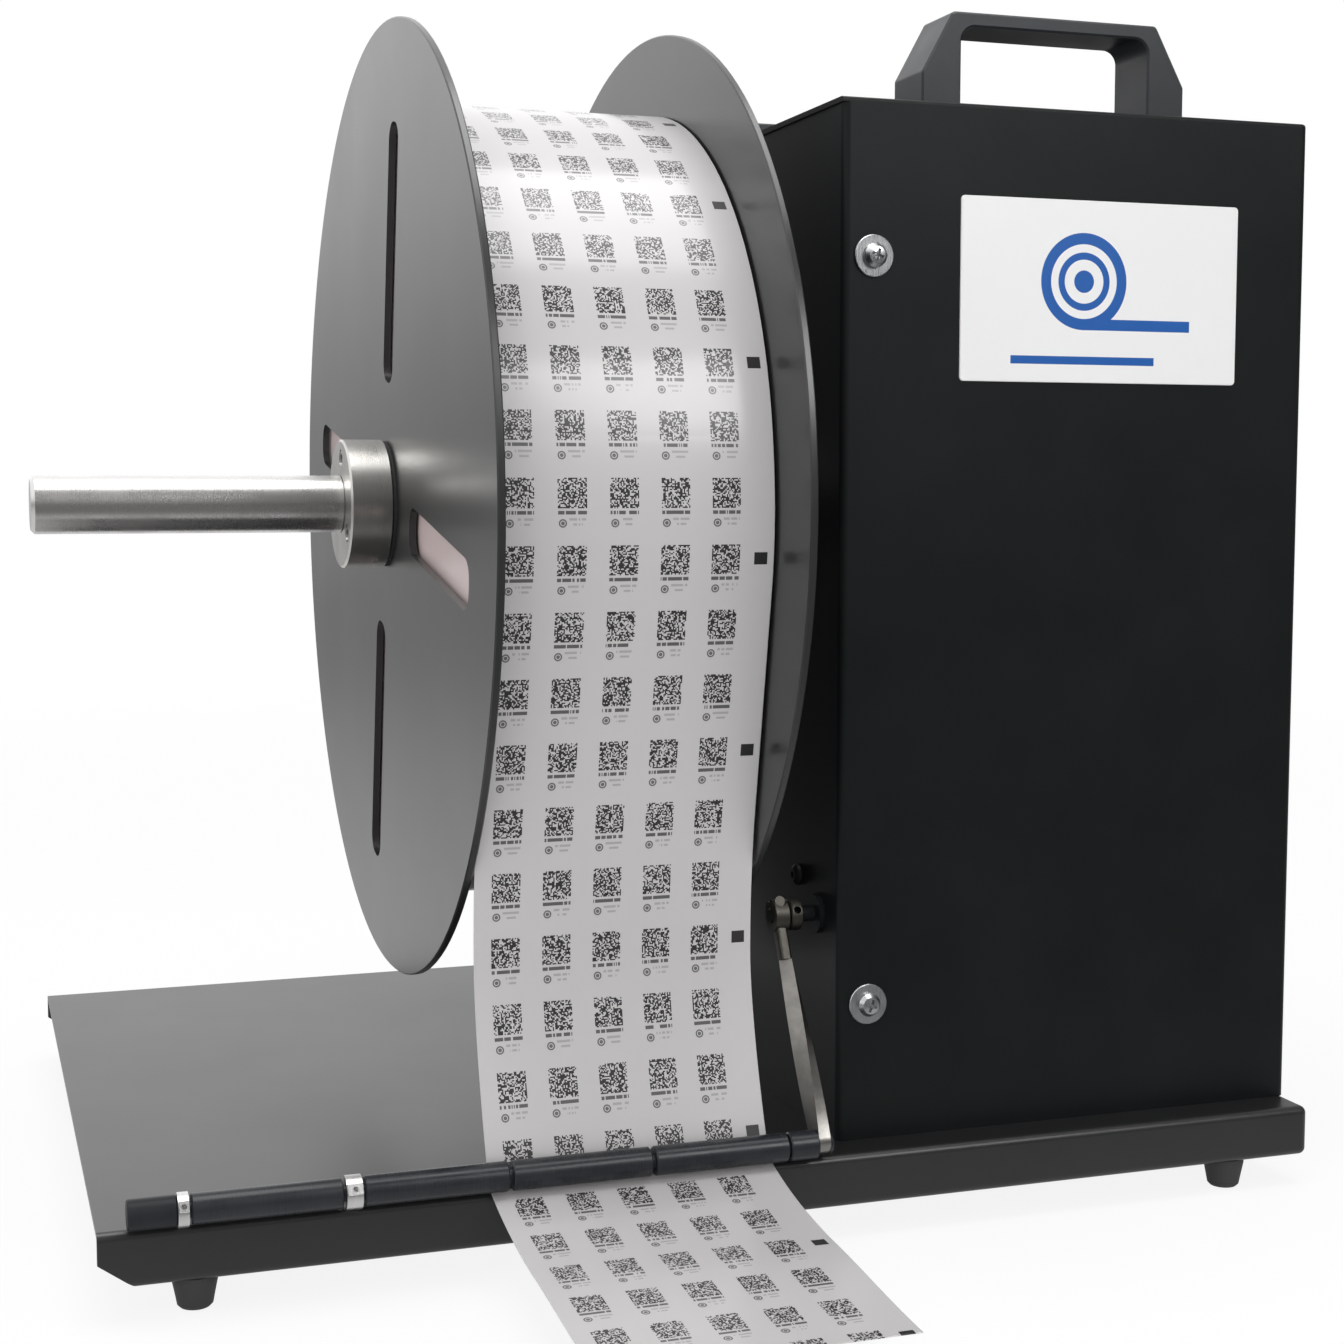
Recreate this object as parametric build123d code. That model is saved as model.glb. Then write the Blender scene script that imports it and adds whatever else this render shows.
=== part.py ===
from build123d import *
import math
import os

# Motor-driven label rewinder for a bench.
# Working datum: the housing's left face is x = 0, its front face is y = 0 and the tray's top is z = 0.
# +X runs along the spindle towards the housing, +Y away from the user, +Z up. All sizes in millimetres.

# ------------------------------------------------------------------ base tray and feet
TRAY_SHEET = 2.0
TRAY_HEIGHT = 20.5
TRAY_LEFT_REACH = 283.5
TRAY_FRONT_MARGIN = 17.5
TRAY_BACK_MARGIN = 4.5
TRAY_LIP = 18.0
TRAY_BEND = 3.0
CORNER_CUT_LENGTH = 13.0
CORNER_CUT_HEIGHT = 9.4
FOOT_HEIGHT = 12.0
FOOT_TOP_R = 8.2
FOOT_BOTTOM_R = 6.4
FOOT_INSET_X = 34.0
FOOT_INSET_Y = 10.0
FOOT_SCREW_R = 1.75

# ------------------------------------------------------------------ housing
HOUSING_WIDTH = 206.0
HOUSING_DEPTH = 350.0
HOUSING_HEIGHT = 405.0
COVER_SHEET = 2.0
COVER_BEND = 3.0
TOP_EDGE_PROUD = 0.6
PANEL_LIP = 12.0
PANEL_SHEET = 2.0
PLATE_SHEET = 4.0
PLATE_HEADROOM = 18.0
PLATE_FLANGE = 22.0
PLATE_FOOT = 30.0

# ------------------------------------------------------------------ carry handles
HANDLE_LENGTH = 118.0
HANDLE_HEIGHT = 40.0
HANDLE_DEPTH = 27.0
HANDLE_LEG = 17.0
HANDLE_GRIP = 5.6
HANDLE_SHOULDER = 16.0
HANDLE_CORNER_INSET = 13.2
HANDLE_OPENING_R = 6.0
HANDLE_EDGE_MARGIN = 24.0
HANDLE_SCREW_R = 2.0

# ------------------------------------------------------------------ spindle, flanges and roll
SPINDLE_Y = 148.5
SPINDLE_Z = 250.0
SPINDLE_R = 12.0
SPINDLE_STICK_OUT = 126.5
SPINDLE_CHAMFER = 1.6
GROOVE_LEAD = 0.3
GROOVE_WIDTH = 2.0
GROOVE_DEPTH = 0.5
JOURNAL_R = 10.0
JOURNAL_END = 96.0
FLANGE_R = 200.0
FLANGE_SHEET = 3.0
FLANGE_TO_WALL = 30.0
SLOT_INNER_R = 52.0
SLOT_OUTER_R = 158.7
SLOT_WIDTH = 19.5
SLOT_CORNER_R = 8.0
SLOT_TURN = 10.6
ROLL_WIDTH = 110.0
ROLL_SIDE_GAP = 1.0
ROLL_R = 166.5
CORE_R = 16.0
CORE_BORE_R = 12.7
HUB_R = 27.2
HUB_LENGTH = 18.0
GASKET_SHEET = 1.0
HUB_SCREW_CIRCLE_R = 19.5
HUB_SCREW_R = 2.0
HUB_SCREW_TURN = -82.0

# ------------------------------------------------------------------ bearings and drive
BEARING_R = 23.5
BEARING_WIDTH = 14.0
BEARING_SPACING = 40.0
BEARING_HOUSING_R = 29.0
BEARING_FLANGE_R = 44.0
BEARING_FLANGE_SHEET = 6.0
SPINDLE_PULLEY_R = 30.0
MOTOR_PULLEY_R = 15.0
BELT_R = 2.5
PULLEY_WIDTH = 14.0
MOTOR_DROP = 150.0
MOTOR_SETBACK = 40.0
GEARBOX_R = 27.0
GEARBOX_LENGTH = 38.0
MOTOR_R = 24.0
MOTOR_LENGTH = 52.0
MOTOR_SHAFT_R = 4.0

# ------------------------------------------------------------------ dancer arm and roller bar
PIVOT_Y = 22.0
PIVOT_Z = 87.4
PIVOT_R = 3.0
BAR_Y = -19.6
BAR_Z = 6.6
HEAD_R = 6.4
HEAD_LEFT_X = -19.1
HEAD_LENGTH = 5.6
HEAD_NECK = 18.4
NECK_WIDTH = 4.8
NECK_DEPTH = 5.0
NECK_ROUNDING = 1.4
TENON_R = 1.5
TENON_LENGTH = 8.0
ARM_LEFT_X = -16.6
ARM_THICKNESS = 4.7
ARM_TOP_THICKNESS = 3.2
ARM_TOP_WIDTH = 5.1
ARM_BOTTOM_WIDTH = 9.4
ARM_TOP_TURN = 21.0
ARM_STATIONS = 5
ARM_END_ABOVE_BAR = 1.0
COLLAR_GAP = 1.0
COLLAR_LENGTH = 5.0
COLLAR_R = 6.2
ROD_R = 3.0
ROD_HEAD_R = 4.2
ROD_HEAD = 2.0
ROD_IN_CAP = 3.0
ROLLER_R = 5.5
ROLLER_LENGTH = 53.0
ROLLER_COUNT = 4
ROLLER_END_GAP = 0.8
ROOT_SLEEVE_LENGTH = 11.5
RING_R = 6.2
WIDE_RING_LENGTH = 6.0
NARROW_RING_LENGTH = 4.0
END_CAP_LENGTH = 17.0
RING_SCREW_R = 1.2
CLAMP_SCREW_R = 1.2
CLAMP_SCREW_WALL = 0.25

# ------------------------------------------------------------------ loose web
WEB_THICKNESS = 0.3
WEB_CLEARANCE = 0.3
WEB_LEAN = 11.1
WEB_TAIL_REACH = 134.0
WEB_TAIL_DROP = 14.6

# ------------------------------------------------------------------ controls and electronics
ROCKER_LENGTH = 19.0
ROCKER_WIDTH = 13.0
ROCKER_BEZEL = 2.2
ROCKER_BODY_DEPTH = 20.0
ROCKER_PIVOT_BEHIND_FACE = 5.0
KNOB_R = 11.0
KNOB_LENGTH = 14.0
KNOB_LIFT = 1.2
POT_SHAFT_R = 3.0
POT_BODY_R = 8.5
CONTROL_Z = 120.0
CONTROL_Y = 70.0
CONTROL_SPACING = 55.0
INLET_Y = 285.0
INLET_Z = 60.0
INLET_R = 5.6
INLET_BORE_R = 3.2
BOARD_LENGTH = 96.0
BOARD_HEIGHT = 70.0
BOARD_SHEET = 1.6
BOARD_SETBACK = 14.0
BOARD_TOP_MARGIN = 35.5
BOARD_HOLE_INSET = 5.0
HEAT_SINK_HEIGHT = 12.0
CAPACITOR_R = 6.0
CAPACITOR_HEIGHT = 18.0
TERMINAL_HEIGHT = 8.0
STANDOFF_LENGTH = 8.0

# ------------------------------------------------------------------ fasteners
COVER_SCREW_R = 2.5
COVER_SCREW_HEAD_R = 4.6
COVER_SCREW_HEAD = 3.4
WASHER_R = 8.0
WASHER_SHEET = 1.2
COVER_SCREW_X = 13.0
COVER_SCREW_LOW_Z = 54.5
COVER_SCREW_HIGH_Z = 345.5
SMALL_SCREW_R = 1.5
SMALL_SCREW_HEAD_R = 2.9
SMALL_SCREW_HEAD = 2.0

# ------------------------------------------------------------------ fits
RUNNING_FIT = 0.05
SEAT_FIT = 0.02
BELT_CLEARANCE = 0.1
SCREW_HOLE_FIT = 0.25
PANEL_FIT = 1.2

# ------------------------------------------------------------------ places worked out from the sizes
TRAY_LEFT = -TRAY_LEFT_REACH
TRAY_FRONT = -TRAY_FRONT_MARGIN
TRAY_BACK = HOUSING_DEPTH + TRAY_BACK_MARGIN
TRAY_FLOOR = -TRAY_HEIGHT
TABLE_Z = TRAY_FLOOR - FOOT_HEIGHT

INNER_FLANGE_X = -FLANGE_TO_WALL
ROLL_RIGHT = INNER_FLANGE_X - FLANGE_SHEET - ROLL_SIDE_GAP
ROLL_LEFT = ROLL_RIGHT - ROLL_WIDTH
OUTER_FLANGE_X = ROLL_LEFT - ROLL_SIDE_GAP
OUTER_FLANGE_FACE = OUTER_FLANGE_X - FLANGE_SHEET
OUTER_HUB_X = OUTER_FLANGE_FACE - GASKET_SHEET
OUTER_HUB_FACE = OUTER_HUB_X - HUB_LENGTH
SPINDLE_LEFT = OUTER_HUB_FACE - SPINDLE_STICK_OUT

PLATE_X = TOP_EDGE_PROUD + COVER_SHEET
PLATE_INNER_X = PLATE_X + PLATE_SHEET
BEARING_1_X = PLATE_INNER_X + 1.0
BEARING_2_X = BEARING_1_X + BEARING_SPACING
BEARING_TUBE_END = BEARING_2_X + BEARING_WIDTH + 1.0
PULLEY_X = BEARING_TUBE_END + 3.0
PULLEY_MID_X = PULLEY_X + PULLEY_WIDTH / 2
MOTOR_Y = SPINDLE_Y + MOTOR_SETBACK
MOTOR_Z = SPINDLE_Z - MOTOR_DROP
BRACKET_X = PULLEY_X + PULLEY_WIDTH + 4.0
BRACKET_SHEET = 3.0

PANEL_FACE = HOUSING_WIDTH - COVER_SHEET
PANEL_BACK = PANEL_FACE - PANEL_SHEET
KNOB_FACE = PANEL_FACE + KNOB_LIFT + KNOB_LENGTH

ARM_RIGHT_X = ARM_LEFT_X + ARM_THICKNESS
HEAD_RIGHT_X = HEAD_LEFT_X + HEAD_LENGTH
BAR_LEAN = math.degrees(math.atan2(PIVOT_Y - BAR_Y, PIVOT_Z - BAR_Z))
ARM_REACH = math.hypot(PIVOT_Y - BAR_Y, PIVOT_Z - BAR_Z)

WEB_FRONT = BAR_Y - WEB_TAIL_REACH
CENTRE_X = (SPINDLE_LEFT + KNOB_FACE) / 2
CENTRE_Y = (WEB_FRONT + TRAY_BACK) / 2
PART_ORIGIN = Pos(-CENTRE_X, -CENTRE_Y, -TABLE_Z)

UPRIGHT = (Align.CENTER, Align.CENTER, Align.MIN)
FROM_CORNER = (Align.MIN, Align.MIN, Align.MIN)


def block(x0, x1, y0, y1, z0, z1):
    """Box between two opposite corners."""
    return Pos(x0, y0, z0) * Box(x1 - x0, y1 - y0, z1 - z0, align=FROM_CORNER)


def rod_x(radius, x0, x1, y=0.0, z=0.0):
    """Round bar along X."""
    return Pos(x0, y, z) * Rot(0, 90, 0) * Cylinder(radius, x1 - x0, align=UPRIGHT)


def rod_y(radius, y0, y1, x=0.0, z=0.0):
    """Round bar along Y."""
    return Pos(x, y0, z) * Rot(-90, 0, 0) * Cylinder(radius, y1 - y0, align=UPRIGHT)


def rod_z(radius, z0, z1, x=0.0, y=0.0):
    """Round bar along Z."""
    return Pos(x, y, z0) * Cylinder(radius, z1 - z0, align=UPRIGHT)


def turned_x(points, y=0.0, z=0.0):
    """Turned piece about an X axis, from an outline of (x, radius) points."""
    outline = make_face(Polyline(*points, close=True))
    return Pos(0, y, z) * revolve(outline, Axis.X)


def group(shapes):
    """Separate solids that share one node."""
    return Compound(children=list(shapes))


def on_circle(radius, count, start=0.0):
    """(y, z) places on a circle about the spindle axis, start in degrees from -Y towards -Z."""
    angles = [math.radians(180 + start + 360 * i / count) for i in range(count)]
    return [(SPINDLE_Y + radius * math.cos(a), SPINDLE_Z + radius * math.sin(a)) for a in angles]


# ================================================================== base tray and feet
FOOT_PLACES = [
    (x, y)
    for x in (TRAY_LEFT + FOOT_INSET_X, HOUSING_WIDTH - FOOT_INSET_X)
    for y in (TRAY_FRONT + FOOT_INSET_Y, TRAY_BACK - FOOT_INSET_Y)
]
PLATE_SCREW_X = PLATE_INNER_X + PLATE_FOOT / 2
PLATE_SCREW_YS = [HOUSING_DEPTH * share for share in (0.15, 0.5, 0.85)]


def base_tray():
    """Folded tray: top, front, back and right walls with return lips, and an open left end."""
    outside = block(TRAY_LEFT, HOUSING_WIDTH, TRAY_FRONT, TRAY_BACK, TRAY_FLOOR, 0)
    long_edges = outside.edges().filter_by(Axis.X)
    end_edges = outside.edges().filter_by(Axis.Y).group_by(Axis.X)[-1]
    corner_edges = outside.edges().filter_by(Axis.Z).group_by(Axis.X)[-1]
    tray = fillet(long_edges + end_edges + corner_edges, TRAY_BEND)
    inner_bend = max(TRAY_BEND - TRAY_SHEET, 0.2)
    hollow = block(TRAY_LEFT - 10, HOUSING_WIDTH - TRAY_SHEET, TRAY_FRONT + TRAY_SHEET,
                   TRAY_BACK - TRAY_SHEET, TRAY_FLOOR + TRAY_SHEET, -TRAY_SHEET)
    tray -= fillet(hollow.edges().filter_by(Axis.X), inner_bend)
    tray -= block(TRAY_LEFT - 10, HOUSING_WIDTH - TRAY_LIP, TRAY_FRONT + TRAY_LIP,
                  TRAY_BACK - TRAY_LIP, TRAY_FLOOR - 1, TRAY_FLOOR + TRAY_SHEET + 1)
    corner = make_face(Polyline((TRAY_LEFT, TRAY_FLOOR + CORNER_CUT_HEIGHT), (TRAY_LEFT - 5, TRAY_FLOOR - 5),
                                (TRAY_LEFT + CORNER_CUT_LENGTH, TRAY_FLOOR - 5),
                                (TRAY_LEFT + CORNER_CUT_LENGTH, TRAY_FLOOR), close=True))
    cut = extrude(Plane.XZ * corner, amount=TRAY_BACK + TRAY_FRONT_MARGIN + 20, both=True)
    tray -= cut
    for x, y in FOOT_PLACES:
        tray -= rod_z(FOOT_SCREW_R + SEAT_FIT, TRAY_FLOOR - 1, TRAY_FLOOR + TRAY_SHEET + 1, x, y)
    for y in PLATE_SCREW_YS:
        tray -= rod_z(COVER_SCREW_R + SCREW_HOLE_FIT, -TRAY_SHEET - 1, 1, PLATE_SCREW_X, y)
    return tray


def rubber_foot():
    """Tapered rubber foot with a recess for its screw head, top face at z = 0."""
    outline = make_face(Polyline((FOOT_SCREW_R + SCREW_HOLE_FIT, 0), (FOOT_TOP_R, 0), (FOOT_TOP_R, -2.0),
                                 (FOOT_BOTTOM_R, 1.0 - FOOT_HEIGHT), (FOOT_BOTTOM_R - 1.0, -FOOT_HEIGHT),
                                 (SMALL_SCREW_HEAD_R + 1.0, -FOOT_HEIGHT),
                                 (SMALL_SCREW_HEAD_R + 1.0, -FOOT_HEIGHT / 2),
                                 (FOOT_SCREW_R + SCREW_HOLE_FIT, -FOOT_HEIGHT / 2), close=True))
    return revolve(Plane.XZ * outline, Axis.Z)


def rubber_feet():
    return group(Pos(x, y, TRAY_FLOOR) * rubber_foot() for x, y in FOOT_PLACES)


def foot_screws():
    """Screws up through the feet into the tray's lips."""
    screws = []
    for x, y in FOOT_PLACES:
        seat = TRAY_FLOOR - FOOT_HEIGHT / 2
        head = rod_z(SMALL_SCREW_HEAD_R + 0.4, seat - SMALL_SCREW_HEAD, seat, x, y)
        screws.append(head + rod_z(FOOT_SCREW_R, seat, TRAY_FLOOR + TRAY_SHEET + 3, x, y))
    return group(screws)


# ================================================================== housing
COVER_SCREW_ZS = (COVER_SCREW_LOW_Z, COVER_SCREW_HIGH_Z)
PANEL_SCREW_ZS = [HOUSING_HEIGHT * share for share in (0.06, 0.5, 0.94)]
PANEL_SCREW_YS = (COVER_SHEET + PANEL_LIP / 2, HOUSING_DEPTH - COVER_SHEET - PANEL_LIP / 2)
WALL_X = TOP_EDGE_PROUD
HANDLE_X = (HOUSING_WIDTH - HANDLE_LENGTH) / 2
HANDLE_SCREW_XS = (HANDLE_X + HANDLE_LEG / 2, HANDLE_X + HANDLE_LENGTH - HANDLE_LEG / 2)
HANDLE_YS = (HANDLE_EDGE_MARGIN, HOUSING_DEPTH - HANDLE_EDGE_MARGIN - HANDLE_DEPTH)
SENSOR_SCREW_Y = PIVOT_Y + 21.0
SENSOR_SCREW_Z = PIVOT_Z + 12.0


def housing_cover():
    """Folded and welded cover: left wall, front, back and top, with lips round the open right side."""
    walls = block(WALL_X, HOUSING_WIDTH, 0, HOUSING_DEPTH, 0, HOUSING_HEIGHT - 0.2)
    upright = walls.edges().filter_by(Axis.Z)
    walls = fillet(upright, COVER_BEND)
    top = block(0, HOUSING_WIDTH, 0, HOUSING_DEPTH, HOUSING_HEIGHT - COVER_SHEET, HOUSING_HEIGHT)
    top = fillet(top.edges().filter_by(Axis.Z).group_by(Axis.X)[-1], COVER_BEND)
    cover = walls + top
    inner_bend = max(COVER_BEND - COVER_SHEET, 0.2)
    hollow = block(WALL_X + COVER_SHEET, HOUSING_WIDTH - COVER_SHEET, COVER_SHEET,
                   HOUSING_DEPTH - COVER_SHEET, -10, HOUSING_HEIGHT - COVER_SHEET)
    cover -= fillet(hollow.edges().filter_by(Axis.Z), inner_bend)
    lip = COVER_SHEET + PANEL_LIP
    cover -= block(HOUSING_WIDTH - COVER_SHEET - 1, HOUSING_WIDTH + 1, lip, HOUSING_DEPTH - lip,
                   -1, HOUSING_HEIGHT - lip)
    top_rim = cover.edges().filter_by_position(Axis.Z, HOUSING_HEIGHT - 0.01, HOUSING_HEIGHT + 0.01)
    cover = fillet(top_rim.filter_by(lambda e: e.center().X > 1.0), 1.4)
    cover -= rod_x(BEARING_HOUSING_R + 1, -1, PLATE_X + 1, SPINDLE_Y, SPINDLE_Z)
    cover -= rod_x(PIVOT_R + 3 + SEAT_FIT, -1, PLATE_X + 1, PIVOT_Y, PIVOT_Z)
    cover -= rod_x(COVER_SCREW_R + SCREW_HOLE_FIT, -1, PLATE_X + 1, SENSOR_SCREW_Y, SENSOR_SCREW_Z)
    for z in COVER_SCREW_ZS:
        cover -= rod_y(COVER_SCREW_R + SCREW_HOLE_FIT, -1, HOUSING_DEPTH + 1, COVER_SCREW_X, z)
    for z in PANEL_SCREW_ZS:
        for y in PANEL_SCREW_YS:
            cover -= rod_x(SMALL_SCREW_R + SCREW_HOLE_FIT, PANEL_FACE - 1, HOUSING_WIDTH + 1, y, z)
    for y in HANDLE_YS:
        for x in HANDLE_SCREW_XS:
            cover -= rod_z(HANDLE_SCREW_R + SCREW_HOLE_FIT, HOUSING_HEIGHT - COVER_SHEET - 1,
                           HOUSING_HEIGHT + 1, x, y + HANDLE_DEPTH / 2)
    return cover


POWER_PLACE = (INLET_Y, INLET_Z + 40.0)
DIRECTION_PLACE = (CONTROL_Y, CONTROL_Z)
KNOB_PLACE = (CONTROL_Y, CONTROL_Z + CONTROL_SPACING)


def side_panel():
    """Flat panel behind the cover's lips, with the openings of the controls."""
    panel = block(PANEL_BACK, PANEL_FACE, COVER_SHEET + PANEL_FIT, HOUSING_DEPTH - COVER_SHEET - PANEL_FIT,
                  PANEL_FIT, HOUSING_HEIGHT - COVER_SHEET - PANEL_FIT)
    for y, z in (POWER_PLACE, DIRECTION_PLACE):
        panel -= block(PANEL_BACK - 1, PANEL_FACE + 1, y - ROCKER_WIDTH / 2 - 1.5, y + ROCKER_WIDTH / 2 + 1.5,
                       z - ROCKER_LENGTH / 2 - 1.5, z + ROCKER_LENGTH / 2 + 1.5)
    panel -= rod_x(POT_SHAFT_R + 1.0, PANEL_BACK - 1, PANEL_FACE + 1, *KNOB_PLACE)
    panel -= rod_x(INLET_R, PANEL_BACK - 1, PANEL_FACE + 1, INLET_Y, INLET_Z)
    for z in PANEL_SCREW_ZS:
        for y in PANEL_SCREW_YS:
            panel -= rod_x(SMALL_SCREW_R + SEAT_FIT, PANEL_BACK - 1, PANEL_FACE + 1, y, z)
    return panel


def bearing_plate():
    """Steel plate behind the left wall that carries the spindle, folded at front, back and foot."""
    front = COVER_SHEET
    back = HOUSING_DEPTH - COVER_SHEET
    height = HOUSING_HEIGHT - COVER_SHEET - PLATE_HEADROOM
    plate = block(PLATE_X, PLATE_INNER_X, front, back, 0, height)
    plate += block(PLATE_X, PLATE_X + PLATE_FLANGE, front, front + PLATE_SHEET, 0, height)
    plate += block(PLATE_X, PLATE_X + PLATE_FLANGE, back - PLATE_SHEET, back, 0, height)
    plate += block(PLATE_X, PLATE_INNER_X + PLATE_FOOT, front + 30, back - 30, 0, PLATE_SHEET)
    corners = plate.edges().filter_by(Axis.Z).filter_by(
        lambda e: e.center().X < PLATE_X + 0.01 and e.length > height / 2)
    plate = fillet(corners, COVER_BEND)
    plate -= rod_x(BEARING_HOUSING_R + SEAT_FIT, PLATE_X - 1, PLATE_INNER_X + 1, SPINDLE_Y, SPINDLE_Z)
    plate -= rod_x(PIVOT_R + 3 + SEAT_FIT, PLATE_X - 1, PLATE_INNER_X + 1, PIVOT_Y, PIVOT_Z)
    plate -= rod_x(COVER_SCREW_R + SEAT_FIT, PLATE_X - 1, PLATE_INNER_X + 1, SENSOR_SCREW_Y, SENSOR_SCREW_Z)
    for z in COVER_SCREW_ZS:
        plate -= rod_y(COVER_SCREW_R + SEAT_FIT, front - 1, back + 1, COVER_SCREW_X, z)
    for y in PLATE_SCREW_YS:
        plate -= rod_z(COVER_SCREW_R + SEAT_FIT, -1, PLATE_SHEET + 1, PLATE_SCREW_X, y)
    for y, z in on_circle(BEARING_SCREW_CIRCLE_R, 4, 45):
        plate -= rod_x(COVER_SCREW_R + SEAT_FIT, PLATE_X - 1, PLATE_INNER_X + 1, y, z)
    for y, z in BRACKET_SCREW_PLACES:
        plate -= rod_x(SMALL_SCREW_R + SEAT_FIT, PLATE_X - 1, PLATE_INNER_X + 1, y, z)
    return plate


def pan_screw(head_r, head, shank_r, length):
    """Pan-head screw along +Y: domed head in front of y = 0, shank behind it, with a cross recess."""
    dome = make_face(Polyline((0, 0), (head_r, 0), (head_r, -head * 0.45), (head_r * 0.72, -head * 0.9),
                              (head_r * 0.3, -head), (0, -head), close=True))
    screw = revolve(dome, Axis.Y) + rod_y(shank_r, 0, length)
    for turn in (0, 90):
        screw -= Rot(0, turn, 0) * Box(head_r * 1.1, head, head_r * 0.26).moved(Location((0, -head, 0)))
    return screw


def cover_screws():
    """Two screws in the front and two in the back, through the cover into the plate's flanges."""
    length = COVER_SHEET + PLATE_SHEET + WASHER_SHEET + 2
    screw = pan_screw(COVER_SCREW_HEAD_R, COVER_SCREW_HEAD, COVER_SCREW_R, length)
    front = [Pos(COVER_SCREW_X, -WASHER_SHEET, z) * Rot(0, 20, 0) * screw for z in COVER_SCREW_ZS]
    back = [Pos(COVER_SCREW_X, HOUSING_DEPTH + WASHER_SHEET, z) * Rot(0, 0, 180) * screw
            for z in COVER_SCREW_ZS]
    return group(front + back)


def cover_washers():
    hole = COVER_SCREW_R + SEAT_FIT
    ring = rod_y(WASHER_R, -WASHER_SHEET, 0) - rod_y(hole, -WASHER_SHEET - 1, 1)
    ring = chamfer(ring.edges().group_by(Axis.Y)[0], 0.25)
    front = [Pos(COVER_SCREW_X, 0, z) * ring for z in COVER_SCREW_ZS]
    back = [Pos(COVER_SCREW_X, HOUSING_DEPTH, z) * Rot(0, 0, 180) * ring for z in COVER_SCREW_ZS]
    return group(front + back)


def side_screw(length):
    """Small pan-head screw along -X with its seat at x = 0."""
    return Rot(0, 0, 90) * pan_screw(SMALL_SCREW_HEAD_R, SMALL_SCREW_HEAD, SMALL_SCREW_R, length)


def panel_screws():
    screw = side_screw(COVER_SHEET + PANEL_SHEET + 2)
    return group(Pos(HOUSING_WIDTH, y, z) * screw for z in PANEL_SCREW_ZS for y in PANEL_SCREW_YS)


def plate_screws():
    """Screws from below the tray into the bearing plate's foot."""
    screws = []
    for y in PLATE_SCREW_YS:
        head = rod_z(COVER_SCREW_HEAD_R, -TRAY_SHEET - COVER_SCREW_HEAD, -TRAY_SHEET, PLATE_SCREW_X, y)
        screws.append(head + rod_z(COVER_SCREW_R, -TRAY_SHEET, PLATE_SHEET + 2, PLATE_SCREW_X, y))
    return group(screws)


def carry_handle():
    """Bridge handle: slanted shoulders, flat grip and a rounded finger opening."""
    top_left = HANDLE_CORNER_INSET
    outer = make_face(Polyline((0, 0), (0, HANDLE_SHOULDER), (top_left, HANDLE_HEIGHT),
                               (HANDLE_LENGTH - top_left, HANDLE_HEIGHT), (HANDLE_LENGTH, HANDLE_SHOULDER),
                               (HANDLE_LENGTH, 0), close=True))
    body = extrude(Plane.XZ * outer, amount=-HANDLE_DEPTH)
    slanted = body.edges().filter_by(Axis.Y).filter_by(lambda e: e.center().Z > HANDLE_SHOULDER - 1)
    body = fillet(slanted, 2.2)
    opening = block(HANDLE_LEG, HANDLE_LENGTH - HANDLE_LEG, -1, HANDLE_DEPTH + 1, -20,
                    HANDLE_HEIGHT - HANDLE_GRIP)
    opening = fillet(opening.edges().filter_by(Axis.Y), HANDLE_OPENING_R)
    body -= opening
    face_edges = (body.faces().sort_by(Axis.Y)[0].edges() + body.faces().sort_by(Axis.Y)[-1].edges())
    body = chamfer(face_edges.filter_by(lambda e: e.center().Z > 1), 0.8)
    for x in (HANDLE_LEG / 2, HANDLE_LENGTH - HANDLE_LEG / 2):
        body -= rod_z(HANDLE_SCREW_R + SEAT_FIT, -1, HANDLE_SHOULDER - 4, x, HANDLE_DEPTH / 2)
    return body


def handle_screws():
    """Screws from inside the cover up into the handle legs."""
    screws = []
    for y in HANDLE_YS:
        for x in HANDLE_SCREW_XS:
            seat = HOUSING_HEIGHT - COVER_SHEET
            head = rod_z(HANDLE_SCREW_R + 1.8, seat - 2.6, seat, x, y + HANDLE_DEPTH / 2)
            shank = rod_z(HANDLE_SCREW_R, seat, HOUSING_HEIGHT + HANDLE_SHOULDER - 6, x, y + HANDLE_DEPTH / 2)
            screws.append(head + shank)
    return group(screws)


# ================================================================== spindle, flanges and roll
def spindle_shaft():
    """Round shaft with a chamfered free end, a relief groove at the outer hub and steps for its bearings."""
    end = SPINDLE_CHAMFER
    groove = OUTER_HUB_FACE - GROOVE_LEAD
    return turned_x([(SPINDLE_LEFT, 0), (SPINDLE_LEFT, SPINDLE_R - end), (SPINDLE_LEFT + end, SPINDLE_R),
                     (groove, SPINDLE_R), (groove, SPINDLE_R - GROOVE_DEPTH),
                     (groove + GROOVE_WIDTH, SPINDLE_R - GROOVE_DEPTH), (groove + GROOVE_WIDTH, SPINDLE_R),
                     (PLATE_INNER_X, SPINDLE_R), (PLATE_INNER_X, JOURNAL_R), (JOURNAL_END - 1, JOURNAL_R),
                     (JOURNAL_END, JOURNAL_R - 1), (JOURNAL_END, 0)], SPINDLE_Y, SPINDLE_Z)


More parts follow.
